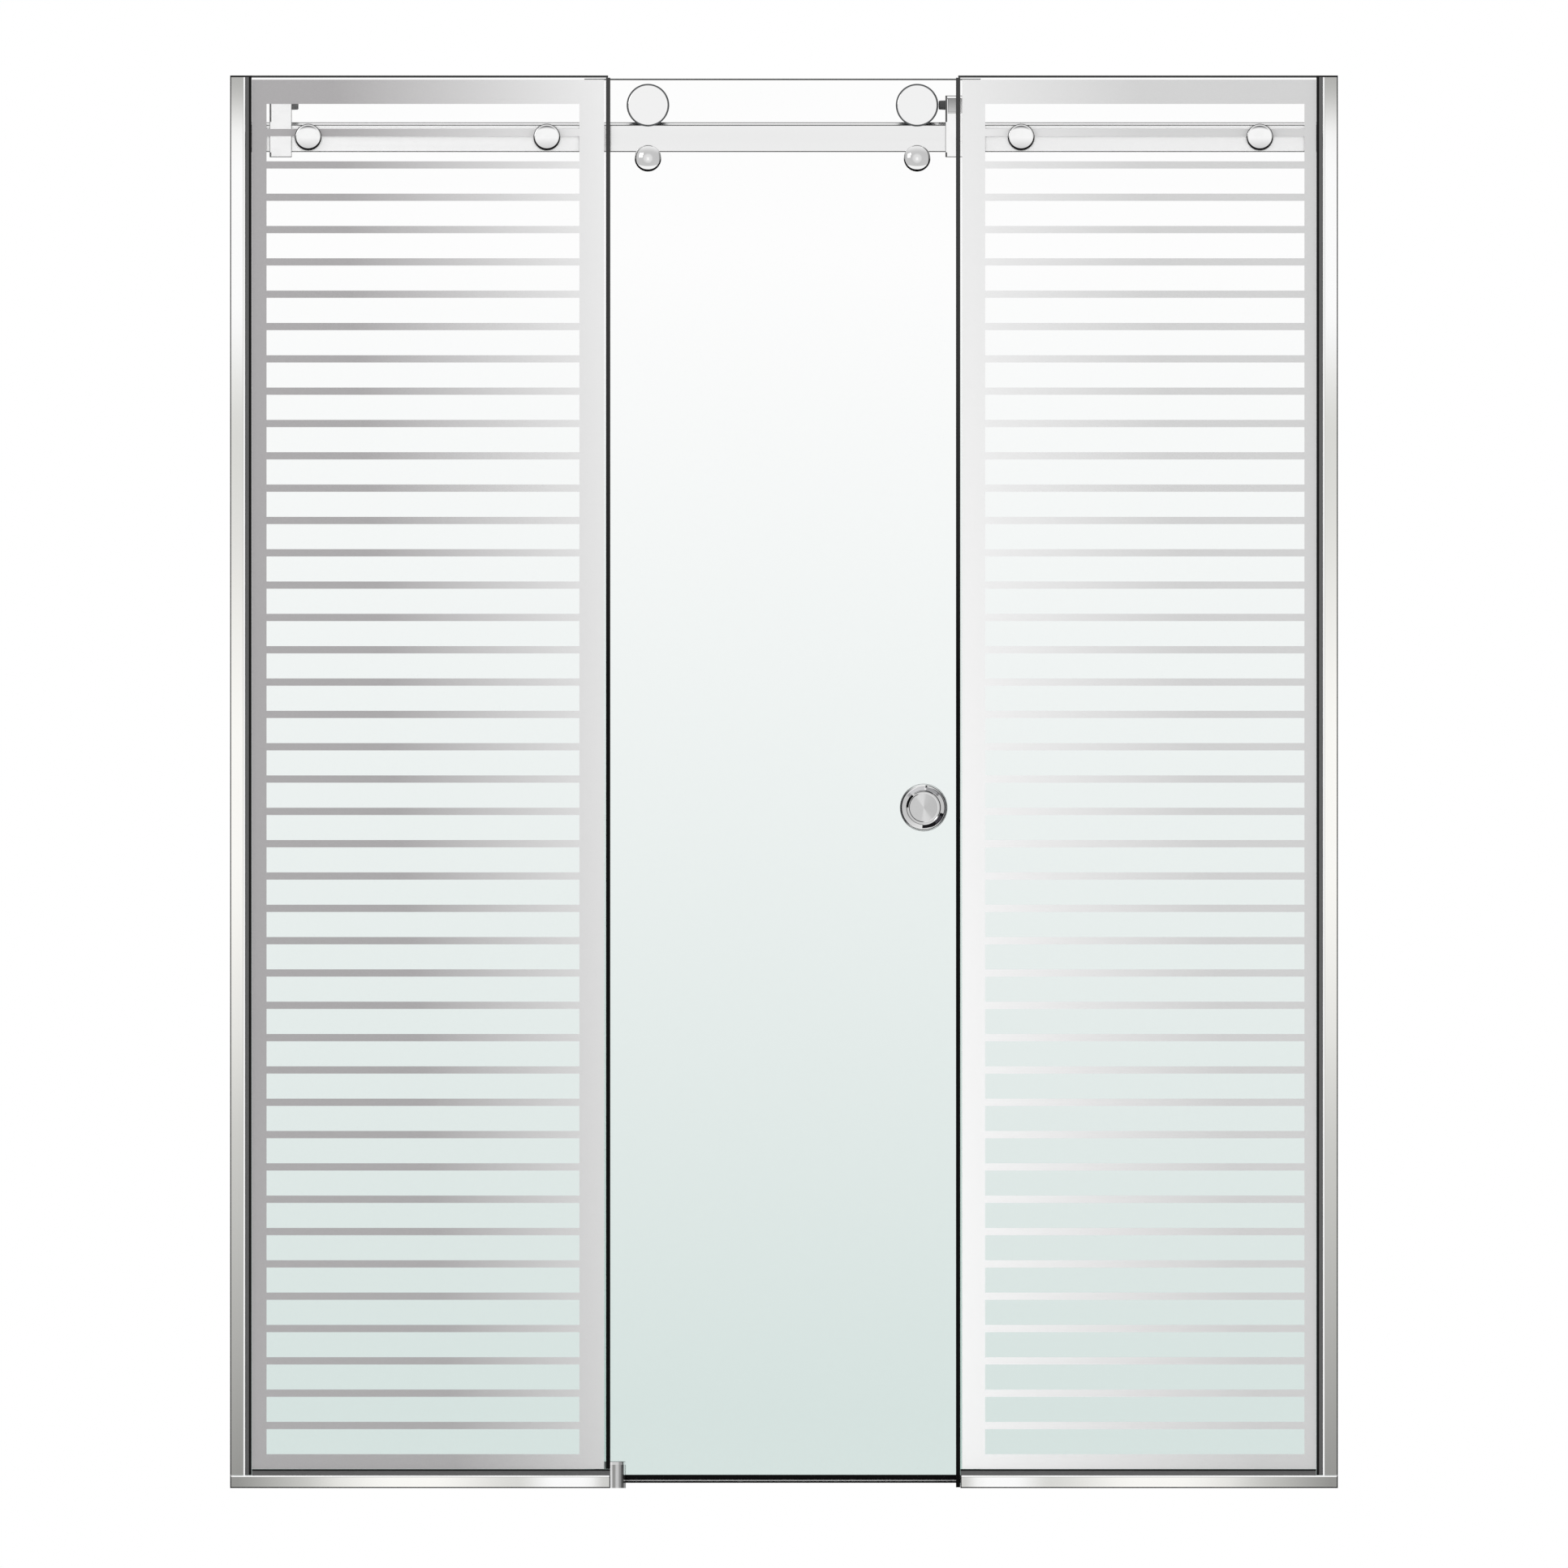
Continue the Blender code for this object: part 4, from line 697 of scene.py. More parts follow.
def cap_finish(metal):
    """Fixing cap chrome: a white crowned face with painted shade towards its foot, a painted grey skyline
    reflection near its top, a painted dark reflection on its underside and a painted grey rim on its upper
    half.
    The four caps are alike, so their places are folded onto one."""
    made = chrome_base("cap_chrome", metal)
    outer, front, _, radius = axis_of("fixing_cap_right_outer")
    inner = axis_of("fixing_cap_right_inner")[0]
    middle, spread = (outer.x + inner.x) / 2, (outer.x - inner.x) / 2
    aside = made.calc("ABSOLUTE", made.calc("SUBTRACT", made.width(), middle))
    across, up = made.calc("SUBTRACT", aside, spread), made.calc("SUBTRACT", made.z, outer.z)
    shade_from, shade_to, shade_share = -0.001, -0.0145, 0.62
    face_rise, face_reach, edge_fade = 0.0006, 0.0147, 0.0003
    sky_centre, sky_from, sky_to = -0.016, 0.0270, 0.0312
    front_depth, depth_fade = 0.0025, 0.0015
    dark_rise, dark_from, dark_top = 0.0017, 0.0164, 0.006
    rim_from, rim_top = 0.0007, 0.004
    # Painted shade towards the foot of the face
    made.tint(made.ramp(up, shade_from, shade_to, 0.0, shade_share), paint("B4B4B4"))
    face = made.within(made.reach(across, up, face_rise), face_reach, edge_fade)
    # Painted reflection: a grey skyline near the top of the face
    skyline = made.ramp(made.reach(across, up, sky_centre), sky_from, sky_to, smooth=True)
    made.mask(paint("5E5E60"), face, skyline)
    # Painted reflection: the dark of the room on the underside of the rim
    near = made.within(made.y, front + front_depth, depth_fade)
    below = made.beyond(made.reach(across, up, dark_rise), dark_from, edge_fade)
    made.mask(metal.dark, near, below, made.ramp(up, dark_top, 0.0))
    # Painted reflection: a grey rim round the upper half
    rim = made.beyond(made.reach(across, up), radius - rim_from, edge_fade)
    made.mask(paint("6A6A6C"), near, rim, made.ramp(up, 0.0, rim_top))
    return made.done()


def knob_finish(side, metal):
    """Knob chrome with a painted dark reflection on its underside."""
    made = chrome_base(f"knob_chrome_{side}", metal)
    centre, front, _, radius = axis_of(f"anti_jump_knob_{side}")
    across, up = made.offset(centre)
    depth_fade, dark_rise, dark_from, dark_fade = 0.0005, 0.0016, 0.0015, 0.0003
    dark_top, dark_full = 0.004, -0.003
    near = made.within(made.y, front + KNOB_DOME, depth_fade)
    # Painted reflection: the dark of the room under the dome's rim
    below = made.beyond(made.reach(across, up, dark_rise), radius - dark_from, dark_fade)
    made.mask(metal.dark, near, below, made.ramp(up, dark_top, dark_full))
    return made.done()


def roller_cap_finish(side, metal):
    """Flat roller cap chrome: painted shade makes its face very pale inside a white margin left as a painted
    highlight, and a painted grey reflection lies on its rim.
    """
    made = chrome_base(f"roller_cap_chrome_{side}", metal)
    centre, _, _, radius = axis_of(f"wheel_cap_{side}")
    around = made.reach(*made.offset(centre))
    margin, margin_fade, rim, rim_fade = 0.0022, 0.0008, 0.0005, 0.0002
    # Painted shade on the face, leaving a white margin as a painted highlight
    made.tint(made.within(around, radius - margin, margin_fade), paint("F1F1F1"))
    # Painted reflection: a grey rim
    made.tint(made.beyond(around, radius - rim, rim_fade), paint("7A7A7C"))
    return made.done()


# Painted reflections of the room's light and dark on the pull: (place, inner and outer radius, start, end and
# softness in degrees, colour)
PULL_PAINTED_REFLECTIONS = (
    ("left of the lip", 0.0290, 0.0320, 145, 215, 40, "4A4A4C"),
    ("right of the lip", 0.0286, 0.0320, -28, 30, 28, "9A9A9C"),
    ("line inside the lip", 0.0278, 0.0285, -60, 55, 20, "1C1C1E"),
    ("dash at the top of the lip", 0.0264, 0.0300, 81, 84, 2, "4A4A4C"),
    ("upper left of the bowl", 0.0236, 0.0277, 90, 140, 8, "CACACC"),
    ("upper right of the bowl", 0.0236, 0.0277, 42, 80, 5, "9A9A9C"),
    ("lower right of the bowl", 0.0234, 0.0277, -93, -18, 2, "1E1D20"),
    ("right of the step", 0.0220, 0.0230, -28, 80, 10, "2A2A2C"),
    ("top of the step", 0.0214, 0.0221, 60, 120, 8, "6A6A6C"),
    ("upper left of the step", 0.0203, 0.0231, 134, 178, 4, "161617"),
    ("left of the step", 0.0224, 0.0230, 180, 264, 8, "363638"),
    ("left of the disc", 0.0189, 0.0197, 118, 264, 12, "4A4A4C"),
)


def pull_finish(name, metal, centre):
    """Polished bowl of the pull, with painted reflections of the room's light and dark in arcs round its lip,
    its bowl and its step.
    """
    made = chrome_base(name, metal)
    turn, radius = made.turn_and_reach(centre)
    for _, inner, outer, start, end, softness, code in PULL_PAINTED_REFLECTIONS:
        middle, half = math.radians(start + end) / 2, math.radians(end - start) / 2
        away = made.calc("WRAP", made.calc("SUBTRACT", turn, middle), math.pi, -math.pi)
        arc = band_mask(made.tree, away, 0.0, half, math.radians(softness))
        made.mask(paint(code), arc, made.strip(radius, inner, outer, 2 * HARD_EDGE))
    return made.done()


def block_finish(side, metal):
    """Cast stop block: pale faces, painted dark reflections along its edges and, at the right, painted shade
    in its recess.
    """
    made = chrome_base(f"stop_chrome_{side}", metal, roughness=0.06)
    low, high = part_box(f"stop_block_{side}")
    rail_middle, rail_half = (RAIL_LOW.z + RAIL_HIGH.z) / 2, (RAIL_HIGH.z - RAIL_LOW.z) / 2
    front_depth, depth_fade, rail_gap, bar, bar_fade, fade = 0.0027, 0.0008, 0.0002, 0.0023, 0.0003, 0.0004
    near = made.within(made.y, low.y + front_depth, depth_fade)
    from_rail = made.calc("ABSOLUTE", made.calc("SUBTRACT", made.z, rail_middle))
    off_rail = made.beyond(from_rail, rail_half + rail_gap, fade)
    # Painted reflection: a dark bar down the left edge, above and below the rail
    made.mask(paint("4A4A4A"), near, off_rail, made.within(made.x, low.x + bar, bar_fade))
    # Painted reflections: thin grey lines along the edges
    for value, start, end, code in (
        (made.x, low.x - OVERRUN, low.x + 0.0006, "8A8A8A"),
        (made.x, high.x - 0.0007, high.x + OVERRUN, "8A8A8A"),
        (made.z, high.z - 0.0008, high.z + OVERRUN, "6A6A6A"),
        (made.z, high.z - 0.0045, high.z - 0.0037, "6E6E6E"),
        (made.z, low.z - OVERRUN, low.z + 0.0009, "5A5A5A"),
    ):
        made.mask(paint(code), near, made.strip(value, start, end, 3 * HARD_EDGE))
    if side == "right":
        foot, head, side_bar, least_shade = high.z - 0.0246, high.z - 0.0041, 0.0030, 0.55
        above_foot, below_head = made.beyond(made.z, foot, fade), made.within(made.z, head - fade, fade)
        aside = made.beyond(made.x, low.x + side_bar, fade)
        # Painted shade in the recess, darkest at its foot
        shade = made.ramp(made.z, foot, head, least_shade, 1.0)
        made.mask(paint("8E8E8E"), near, above_foot, below_head, aside, shade)
    return made.done()


def guide_finish(metal):
    """Bowed guide chrome: a painted shade down its middle, a painted dark reflection on the flank at the
    right, painted grey lines on its right and top edges, and a painted highlight along the top.
    """
    made = chrome_base("guide_chrome", metal, roughness=0.05)
    _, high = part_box("floor_guide_body")
    grey, side_line, top_line, pale_start, pale_end = paint("6A6A6C"), 0.0006, 0.0007, 0.0046, 0.0008
    # Distance from the right end, half width, softness, colour and strength of each painted shade band
    bands = ((0.0160, 0.0005, 0.0030, metal.profile_shade, 0.75), (0.0045, 0.0008, 0.0022, metal.dark, 0.65))
    for inset, *band in bands:
        made.band(made.x, high.x - inset, *band)
    # Painted reflections: grey lines on the right and top edges, and a white highlight along the top
    made.line(made.x, high.x - side_line, high.x + OVERRUN, grey)
    made.line(made.z, high.z - top_line, high.z + OVERRUN, grey)
    made.line(made.z, high.z - pale_start, high.z - pale_end, WHITE)
    return made.done()


# Shapes


def turned(points, segments, rounds=()):
    """Spins (radius, depth) points about the Y axis, then rounds the rings at the given points.
    Points that start off the axis close into a ring. Rounds are (point number, width, segments)."""
    bm = bmesh.new()
    verts = [bm.verts.new((radius, depth, 0)) for radius, depth in points]
    ends = list(zip(verts, verts[1:]))
    if points[0][0] > 0:
        ends.append((verts[-1], verts[0]))
    geom = verts + [bm.edges.new(pair) for pair in ends]
    bmesh.ops.spin(
        bm, geom=geom, cent=(0, 0, 0), axis=(0, 1, 0), angle=2 * math.pi, steps=segments, use_merge=True
    )
    bmesh.ops.remove_doubles(bm, verts=bm.verts, dist=MERGE_DISTANCE)
    bmesh.ops.recalc_face_normals(bm, faces=bm.faces)
    for number, width, steps in rounds:
        radius, depth = points[number]
        ring = [edge for edge in bm.edges if all(on_ring(vert, radius, depth) for vert in edge.verts)]
        soften(bm, ring, width, steps)
    return bm


def meets(place, other):
    """Whether two places along a line are one, within the distance that welding closes."""
    return abs(place - other) < MERGE_DISTANCE


def on_ring(vert, radius, depth):
    x, y, z = vert.co
    return meets(y, depth) and meets(math.hypot(x, z), radius)


def ring_points(bore, radius, front, back):
    """Section of a flat ring."""
    return [(bore, front), (radius, front), (radius, back), (bore, back)]


def soften(bm, edges, width, segments):
    """Bevels edges into rounds."""
    bmesh.ops.bevel(
        bm, geom=edges, affect="EDGES", offset=width, segments=segments, profile=0.5, material=-1,
        clamp_overlap=True,
    )


def cut(bm, geom, place, across):
    """Cuts new edges into a mesh along a plane."""
    bmesh.ops.bisect_plane(bm, geom=geom, dist=MERGE_DISTANCE, plane_co=place, plane_no=across)


def of_kind(parts, kind):
    return [part for part in parts if isinstance(part, kind)]


def raised(bm, faces, vec, keep=True):
    """Draws faces out by a vector and returns their new ends."""
    made = bmesh.ops.extrude_face_region(bm, geom=faces, use_keep_orig=keep)["geom"]
    bmesh.ops.translate(bm, verts=of_kind(made, bmesh.types.BMVert), vec=vec)
    if not keep:
        bmesh.ops.delete(bm, geom=faces, context="FACES_ONLY")
    return of_kind(made, bmesh.types.BMFace)


def sharp_edges(bm, degrees):
    """Edges between two faces that meet at more than an angle."""
    least = math.radians(degrees)
    return [edge for edge in bm.edges if len(edge.link_faces) == 2 and edge.calc_face_angle(0) > least]


def on_box(point, low, high):
    """Whether a point lies on an edge of a box, that is on two of its faces at once."""
    return sum(meets(at, start) or meets(at, end) for at, start, end in zip(point, low, high)) >= 2


def mesh_from(name, bm):
    mesh = bpy.data.meshes.new(name)
    bm.to_mesh(mesh)
    bm.free()
    return mesh


def put(name, data):
    """Adds an object to the scene."""
    made = bpy.data.objects.new(name, data)
    bpy.context.scene.collection.objects.link(made)
    return made


def add_piece(name, bm, material, body, nodes=(), centre=(0, 0, 0)):
    """Makes a piece of a mesh: its place is in the mesh, and it rides on a body and stands for CAD nodes."""
    bmesh.ops.translate(bm, verts=bm.verts, vec=centre)
    bmesh.ops.recalc_face_normals(bm, faces=bm.faces)
    mesh = mesh_from(name, bm)
    mesh.shade_smooth()
    mesh.set_sharp_from_angle(angle=SMOOTH_ANGLE)
    mesh.materials.append(material)
    piece = put(name, mesh)
    piece.modifiers.new("flat_faces", "WEIGHTED_NORMAL").keep_sharp = True
    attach(piece, body)
    if nodes:
        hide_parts(*nodes)


def add_turned(node, centre, points, sizes, rounds, material, body):
    """Turns a section into the piece that stands for a CAD node."""
    bm = turned(points, sizes.segments, rounds)
    add_piece(f"{node}_turned", bm, material, body, [node], centre)


def axis_of(node):
    """(middle in X and Z with Y at 0, front, back, radius) of a turned CAD node."""
    low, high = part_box(node)
    return Vector(((low.x + high.x) / 2, 0, (low.z + high.z) / 2)), low.y, high.y, (high.x - low.x) / 2


def dress(names, material):
    """Gives carried-over CAD nodes their finish."""
    for name in names:
        slots = NODES[name].material_slots
        if not slots:
            raise RuntimeError(f"{name} has no material slot to dress")
        for slot in slots:
            slot.material = material


def both_sides(*stems):
    return [f"{stem}_{side}" for stem in stems for side in SIDES]


class ScreenOperator(bpy.types.Operator):
    """Common ground of the shower screen's operators"""

    bl_idname = "screen_part.base"
    bl_label = "Shower screen piece"
    bl_options = {"REGISTER", "UNDO"}

    def execute(self, context):
        self.build(context.scene.shower_screen)
        return {"FINISHED"}


class SCREEN_OT_glass(ScreenOperator):
    """Finish the two fixed panels and the sliding door in clear glass"""

    bl_idname = "screen_part.glass"
    bl_label = "Glass panels"

    def build(self, settings):
        glass = settings.glass
        fixed = glass_finish("fixed_panel_glass", glass, PANEL_TOP, glass.fixed_line)
        dress(both_sides("fixed_glass"), fixed)
        dress(["door_glass"], glass_finish("door_panel_glass", glass, DOOR_TOP, glass.door_line))


class SCREEN_OT_enamel(ScreenOperator):
    """Finish the striped satin enamel on the fixed panels"""

    bl_idname = "screen_part.enamel"
    bl_label = "Striped enamel"

    def build(self, settings):
        for side in SIDES:
            dress([f"frosted_print_{side}"], enamel_finish(side, settings.enamel))


class SCREEN_OT_channels(ScreenOperator):
    """Finish the wall profiles, the sills and the rail in aluminium"""

    bl_idname = "screen_part.channels"
    bl_label = "Profiles, sills and rail"

    def build(self, settings):
        dress(both_sides("wall_profile"), profile_finish(settings.metal))
        dress(both_sides("sill_channel"), sill_finish(settings.metal))
        dress(["rail"], rail_finish(settings.metal))


class SCREEN_OT_rubber(ScreenOperator):
    """Finish the gaskets and the clip seals in rubber"""

    bl_idname = "screen_part.rubber"
    bl_label = "Gaskets and seals"

    def build(self, settings):
        dress(both_sides("wall_gasket"), gasket_finish(settings.rubber, sill=False))
        dress(both_sides("sill_gasket"), gasket_finish(settings.rubber, sill=True))
        dress([*both_sides("edge_seal"), "door_side_seal"], seal_finish(settings.rubber))
        dress(["door_bottom_seal"], seal_finish(settings.rubber, foot=True))


class SCREEN_OT_hardware(ScreenOperator):
    """Finish the small hardware that keeps its frame shape: screws, axles, bearings, bushes and brackets"""

    bl_idname = "screen_part.hardware"
    bl_label = "Small hardware"

    def build(self, settings):
        metal, rubber = settings.metal, settings.rubber
        steel = brushed_finish("brushed_steel", metal.steel, roughness=0.28)
        dress([f"fixing_screw_{place}" for place in FIXINGS], steel)
        dress(both_sides("stop_screw", "roller_axle"), steel)
        dress(both_sides("bearing"), brushed_finish("bearing_steel", metal.bearing, roughness=0.24))
        nylon = plastic_finish("white_nylon", rubber.nylon)
        dress([*both_sides("roller_spacer", "anti_jump_sleeve"), "floor_guide_liner"], nylon)
        chrome = chrome_base("bracket_chrome", metal).done()
        dress(both_sides("rail_end_bracket"), chrome)
        dress([f"fixing_spacer_{place}" for place in FIXINGS], chrome)


class SCREEN_OT_fixing_caps(ScreenOperator):
    """Model the four crowned caps that hold the rail on the fixed glass, and their washers"""

    bl_idname = "screen_part.fixing_caps"
    bl_label = "Rail fixing caps"

    def build(self, settings):
        sizes = settings.fittings
        chrome = cap_finish(settings.metal)
        rubber = plastic_finish("washer_rubber", settings.rubber.seal_head, roughness=0.55)
        shank, bore, grip, steps = 0.0059, 0.0033, 0.0093, 5
        shares = [step / steps for step in range(steps + 1)]
        rounds = [(steps, sizes.cap_round, 5), (steps + 1, 0.0004, 2)]
        print_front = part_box("frosted_print_left")[0].y
        for place in FIXINGS:
            node = f"fixing_cap_{place}"
            centre, front, back, radius = axis_of(node)
            head_back, bore_end = front + sizes.cap_depth, back - grip
            face = [(radius * share, front + sizes.cap_crown * share**2) for share in shares]
            shaft = [(radius, head_back), (shank, head_back), (shank, back)]
            points = [*face, *shaft, (bore, back), (bore, bore_end), (0, bore_end)]
            add_turned(node, centre, points, sizes, rounds, chrome, "frame")
            lip, ends = radius + sizes.washer_lip, (head_back + SEAT_GAP, print_front - SEAT_GAP)
            bm = turned(ring_points(shank + FIT_GAP, lip, *ends), sizes.segments)
            add_piece(f"cap_washer_{place}", bm, rubber, "frame", centre=centre)


class SCREEN_OT_rollers(ScreenOperator):
    """Model the grooved roller wheels and their flat polished caps"""

    bl_idname = "screen_part.rollers"
    bl_label = "Rollers"

    def build(self, settings):
        acetal = plastic_finish("roller_acetal", settings.rubber.wheel, roughness=0.32)
        for side in SIDES:
            self.add_wheel(side, settings.fittings, acetal)
            self.add_cap(side, settings.fittings, roller_cap_finish(side, settings.metal))

    def add_wheel(self, side, sizes, acetal):
        """A wheel with a chamfered groove for the rail and a bore with a shoulder for its bearing."""
        node = f"wheel_{side}"
        centre, front, back, radius = axis_of(node)
        middle, half = (front + back) / 2, (back - front) / 2
        tread, seat, hub = 0.0228, 0.0113, 0.0083
        floor, mouth, shoulder = 0.0023, 0.0063, 0.0038
        flank = tread + RAIL_CHAMFER
        groove = [(radius, -mouth), (flank, -mouth), (tread, -floor), (tread, floor), (flank, mouth)]
        bore = [(hub, half), (hub, shoulder), (seat, shoulder)]
        offsets = [(seat, -half), (radius, -half), *groove, (radius, mouth), (radius, half), *bore]
        points = [(around, middle + depth) for around, depth in offsets]
        rounds = [(1, 0.0008, 3), (2, 0.0004, 2), (7, 0.0004, 2), (8, 0.0008, 3), (9, 0.0004, 2)]
        add_turned(node, centre, points, sizes, rounds, acetal, f"roller_{side}")

    def add_cap(self, side, sizes, chrome):
        """A flat cap with a plug behind it."""
        node = f"wheel_cap_{side}"
        centre, front, back, radius = axis_of(node)
        cap_back, plug_radius = front + sizes.wheel_cap_depth, 0.011
        head = [(0, front), (radius, front), (radius, cap_back)]
        points = [*head, (plug_radius, cap_back), (plug_radius, back), (0, back)]
        rounds = [(1, sizes.wheel_cap_round, 4), (2, 0.0003, 2)]
        add_turned(node, centre, points, sizes, rounds, chrome, f"roller_{side}")


class SCREEN_OT_knobs(ScreenOperator):
    """Model the domed anti-jump knobs below the rail, and the rounded nuts behind the door"""

    bl_idname = "screen_part.knobs"
    bl_label = "Anti-jump knobs and nuts"

    def build(self, settings):
        chrome = chrome_base("nut_chrome", settings.metal).done()
        for side in SIDES:
            self.add_knob(side, settings.fittings, knob_finish(side, settings.metal))
            for stem in ("roller_back_cap", "anti_jump_back_cap"):
                self.add_nut(f"{stem}_{side}", settings.fittings, chrome)

    def add_knob(self, side, sizes, chrome):
        """A dome on a short base, with a shank through the glass."""
        node = f"anti_jump_knob_{side}"
        centre, front, back, radius = axis_of(node)
        shank, base, steps = 0.004, 0.002, 14
        dome_base = front + KNOB_DOME
        knob_back = dome_base + base
        angles = [math.pi / 2 * step / steps for step in range(steps + 1)]
        dome = [(radius * math.sin(angle), dome_base - KNOB_DOME * math.cos(angle)) for angle in angles]
        points = [*dome, (radius, knob_back), (shank, knob_back), (shank, back), (0, back)]
        add_turned(node, centre, points, sizes, [(steps + 1, 0.0005, 2)], chrome, "door")

    def add_nut(self, node, sizes, chrome):
        """A rounded nut with a shallow turned dish in its face, bored for the shank."""
        centre, front, back, radius = axis_of(node)
        bore, bore_end = 0.0043, back - 0.0025
        dish, dish_depth = radius * 0.55, 0.0006
        face = [(0, back - dish_depth), (dish, back - dish_depth), (dish + dish_depth, back), (radius, back)]
        points = [*face, (radius, front), (bore, front), (bore, bore_end), (0, bore_end)]
        rounds = [(2, 0.0003, 2), (3, sizes.nut_round, 6), (4, 0.0003, 2)]
        add_turned(node, centre, points, sizes, rounds, chrome, "door")


class SCREEN_OT_pull(ScreenOperator):
    """Model the round flush pull: a polished bowl with a spun disc, on both faces of the door"""

    bl_idname = "screen_part.pull"
    bl_label = "Flush pull"

    def build(self, settings):
        rubber = plastic_finish("pull_washer_rubber", settings.rubber.washer, roughness=0.55)
        for node, facing in (("handle_front", -1), ("handle_back", 1)):
            self.add_half(node, facing, settings.fittings, settings.metal, rubber)

    def add_half(self, node, facing, sizes, metal, rubber):
        """One half: its bowl with a stepped floor, the washer behind its lip, and the disc on its floor.
        Depths are measured from the middle of the door's glass."""
        glass_low, glass_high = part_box("door_glass")
        middle, skin = (glass_low.y + glass_high.y) / 2, (glass_high.y - glass_low.y) / 2
        centre, front, back, radius = axis_of(node)
        rim_depth = max(middle - front, back - middle)
        inner = min(abs(middle - front), abs(back - middle))
        floor, groove_depth, neck, bore_gap = skin - sizes.pull_floor, 0.0006, 0.0255, 0.0001
        groove, disc, rim = floor - groove_depth, sizes.pull_disc, sizes.pull_rim
        profile = [
            (0, groove),
            (disc + 0.0008, groove),
            (disc + 0.0037, floor + 0.0004),
            (disc + 0.0046, rim_depth - 0.0022),
            (rim, rim_depth - 0.0004),
            (rim + 0.0006, rim_depth),
            (rim + 0.0017, rim_depth - 0.0001),
            (radius - 0.0009, rim_depth - 0.0010),
            (radius, rim_depth - 0.0030),
            (radius, skin + FIT_GAP),
            (neck, skin + FIT_GAP),
            (neck, inner),
            (0, inner),
        ]
        points = [(around, middle + facing * depth) for around, depth in profile]
        rounds = [(3, 0.0003, 3), (4, 0.0003, 3), (5, 0.0003, 3), (7, 0.0006, 4), (8, 0.0008, 4)]
        chrome = pull_finish(f"{node}_chrome", metal, centre)
        add_turned(node, centre, points, sizes, rounds, chrome, "door")

        ends = sorted(middle + facing * (skin + depth) for depth in (SEAT_GAP, FIT_GAP - SEAT_GAP))
        bm = turned(ring_points(neck + bore_gap, radius + sizes.washer_lip, *ends), sizes.segments)
        add_piece(f"{node}_washer", bm, rubber, "door", centre=centre)

        face, foot = middle + facing * floor, middle + facing * groove
        bm = turned([(0, face), (disc, face), (disc, foot), (0, foot)], sizes.segments, [(1, 0.0002, 2)])
        spun = spun_disc_finish(f"{node}_disc_steel", metal.disc, centre)
        add_piece(f"{node}_disc", bm, spun, "door", centre=centre)


class SCREEN_OT_stops(ScreenOperator):
    """Model the stop blocks on the rail, with their recess, and the rubber bumpers"""

    bl_idname = "screen_part.stops"
    bl_label = "Rail stops"

    def build(self, settings):
        rubber = plastic_finish("bumper_rubber", settings.rubber.bumper, roughness=0.55)
        for side in SIDES:
            self.add_block(side, block_finish(side, settings.metal))
            self.add_bumper(side, rubber)

    def add_block(self, side, chrome):
        """A section with the rail's passage, drawn out along the rail and rounded, its front panel sunk."""
        node = f"stop_block_{side}"
        low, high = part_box(node)
        middle = axis_of(f"stop_bumper_{side}")[0].z
        edge, half, border, sink, slope = 0.0025, 0.009, 0.004, 0.002, 0.0003
        outer = [(low.y, low.z), (high.y, low.z), (high.y, high.z), (low.y, high.z)]
        rail_front, rail_back = RAIL_LOW.y - FIT_GAP, RAIL_HIGH.y + FIT_GAP
        rail_foot, rail_head = RAIL_LOW.z - FIT_GAP, RAIL_HIGH.z + FIT_GAP
        inner = [
            (rail_front, rail_foot),
            (rail_back, rail_foot),
            (rail_back, rail_head - RAIL_CHAMFER),
            (rail_back - RAIL_CHAMFER, rail_head),
            (rail_front + RAIL_CHAMFER, rail_head),
            (rail_front, rail_head - RAIL_CHAMFER),
        ]
        bm = bmesh.new()
        edges = []
        for ring in (outer, inner):
            verts = [bm.verts.new((low.x, depth, height)) for depth, height in ring]
            edges += [bm.edges.new((vert, verts[number - 1])) for number, vert in enumerate(verts)]
        section = bmesh.ops.triangle_fill(bm, use_beauty=True, edges=edges)["geom"]
        raised(bm, of_kind(section, bmesh.types.BMFace), (high.x - low.x, 0, 0))
        bmesh.ops.recalc_face_normals(bm, faces=bm.faces)
        borders = [((0, 0, height), (0, 0, 1)) for height in (middle - half, middle + half)]
        borders += [((place, 0, 0), (1, 0, 0)) for place in (low.x + border, high.x - border)]
        for place, across in borders:
            front = [face for face in bm.faces if all(meets(vert.co.y, low.y) for vert in face.verts)]
            geom = dict.fromkeys(part for face in front for part in (face, *face.verts, *face.edges))
            cut(bm, list(geom), place, across)
        panel = []
        for face in bm.faces:
            x, y, z = face.calc_center_median()
            if meets(y, low.y) and abs(z - middle) < half and low.x + border < x < high.x - border:
                panel.append(face)
        bmesh.ops.inset_region(bm, faces=panel, thickness=slope, depth=-sink, use_even_offset=True)
        square = sharp_edges(bm, degrees=80)
        outside = [part for part in square if all(on_box(vert.co, low, high) for vert in part.verts)]
        soften(bm, outside, edge, segments=5)
        add_piece(f"{node}_cast", bm, chrome, "frame", [node])

    def add_bumper(self, side, rubber):
        """A round rubber button on the stop's face, towards the roller."""
        node = f"stop_bumper_{side}"
        low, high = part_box(node)
        block_low, block_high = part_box(f"stop_block_{side}")
        face, tip = (block_high.x, high.x) if side == "left" else (block_low.x, low.x)
        length, radius = abs(tip - face), (high.y - low.y) / 2
        flange, flange_length, segments = radius * 1.05, length * 0.25, 48
        points = [(0, -length), (radius, -length), (flange, -flange_length), (flange, 0), (0, 0)]
        bm = turned(points, segments, [(1, 0.0015, 4), (2, 0.0006, 2)])
        turn = Matrix.Rotation(math.copysign(math.pi / 2, tip - face), 3, "Z")
        bmesh.ops.rotate(bm, verts=bm.verts, cent=(0, 0, 0), matrix=turn)
        centre = (face, (low.y + high.y) / 2, (low.z + high.z) / 2)
        add_piece(f"{node}_moulded", bm, rubber, "frame", [node], centre)


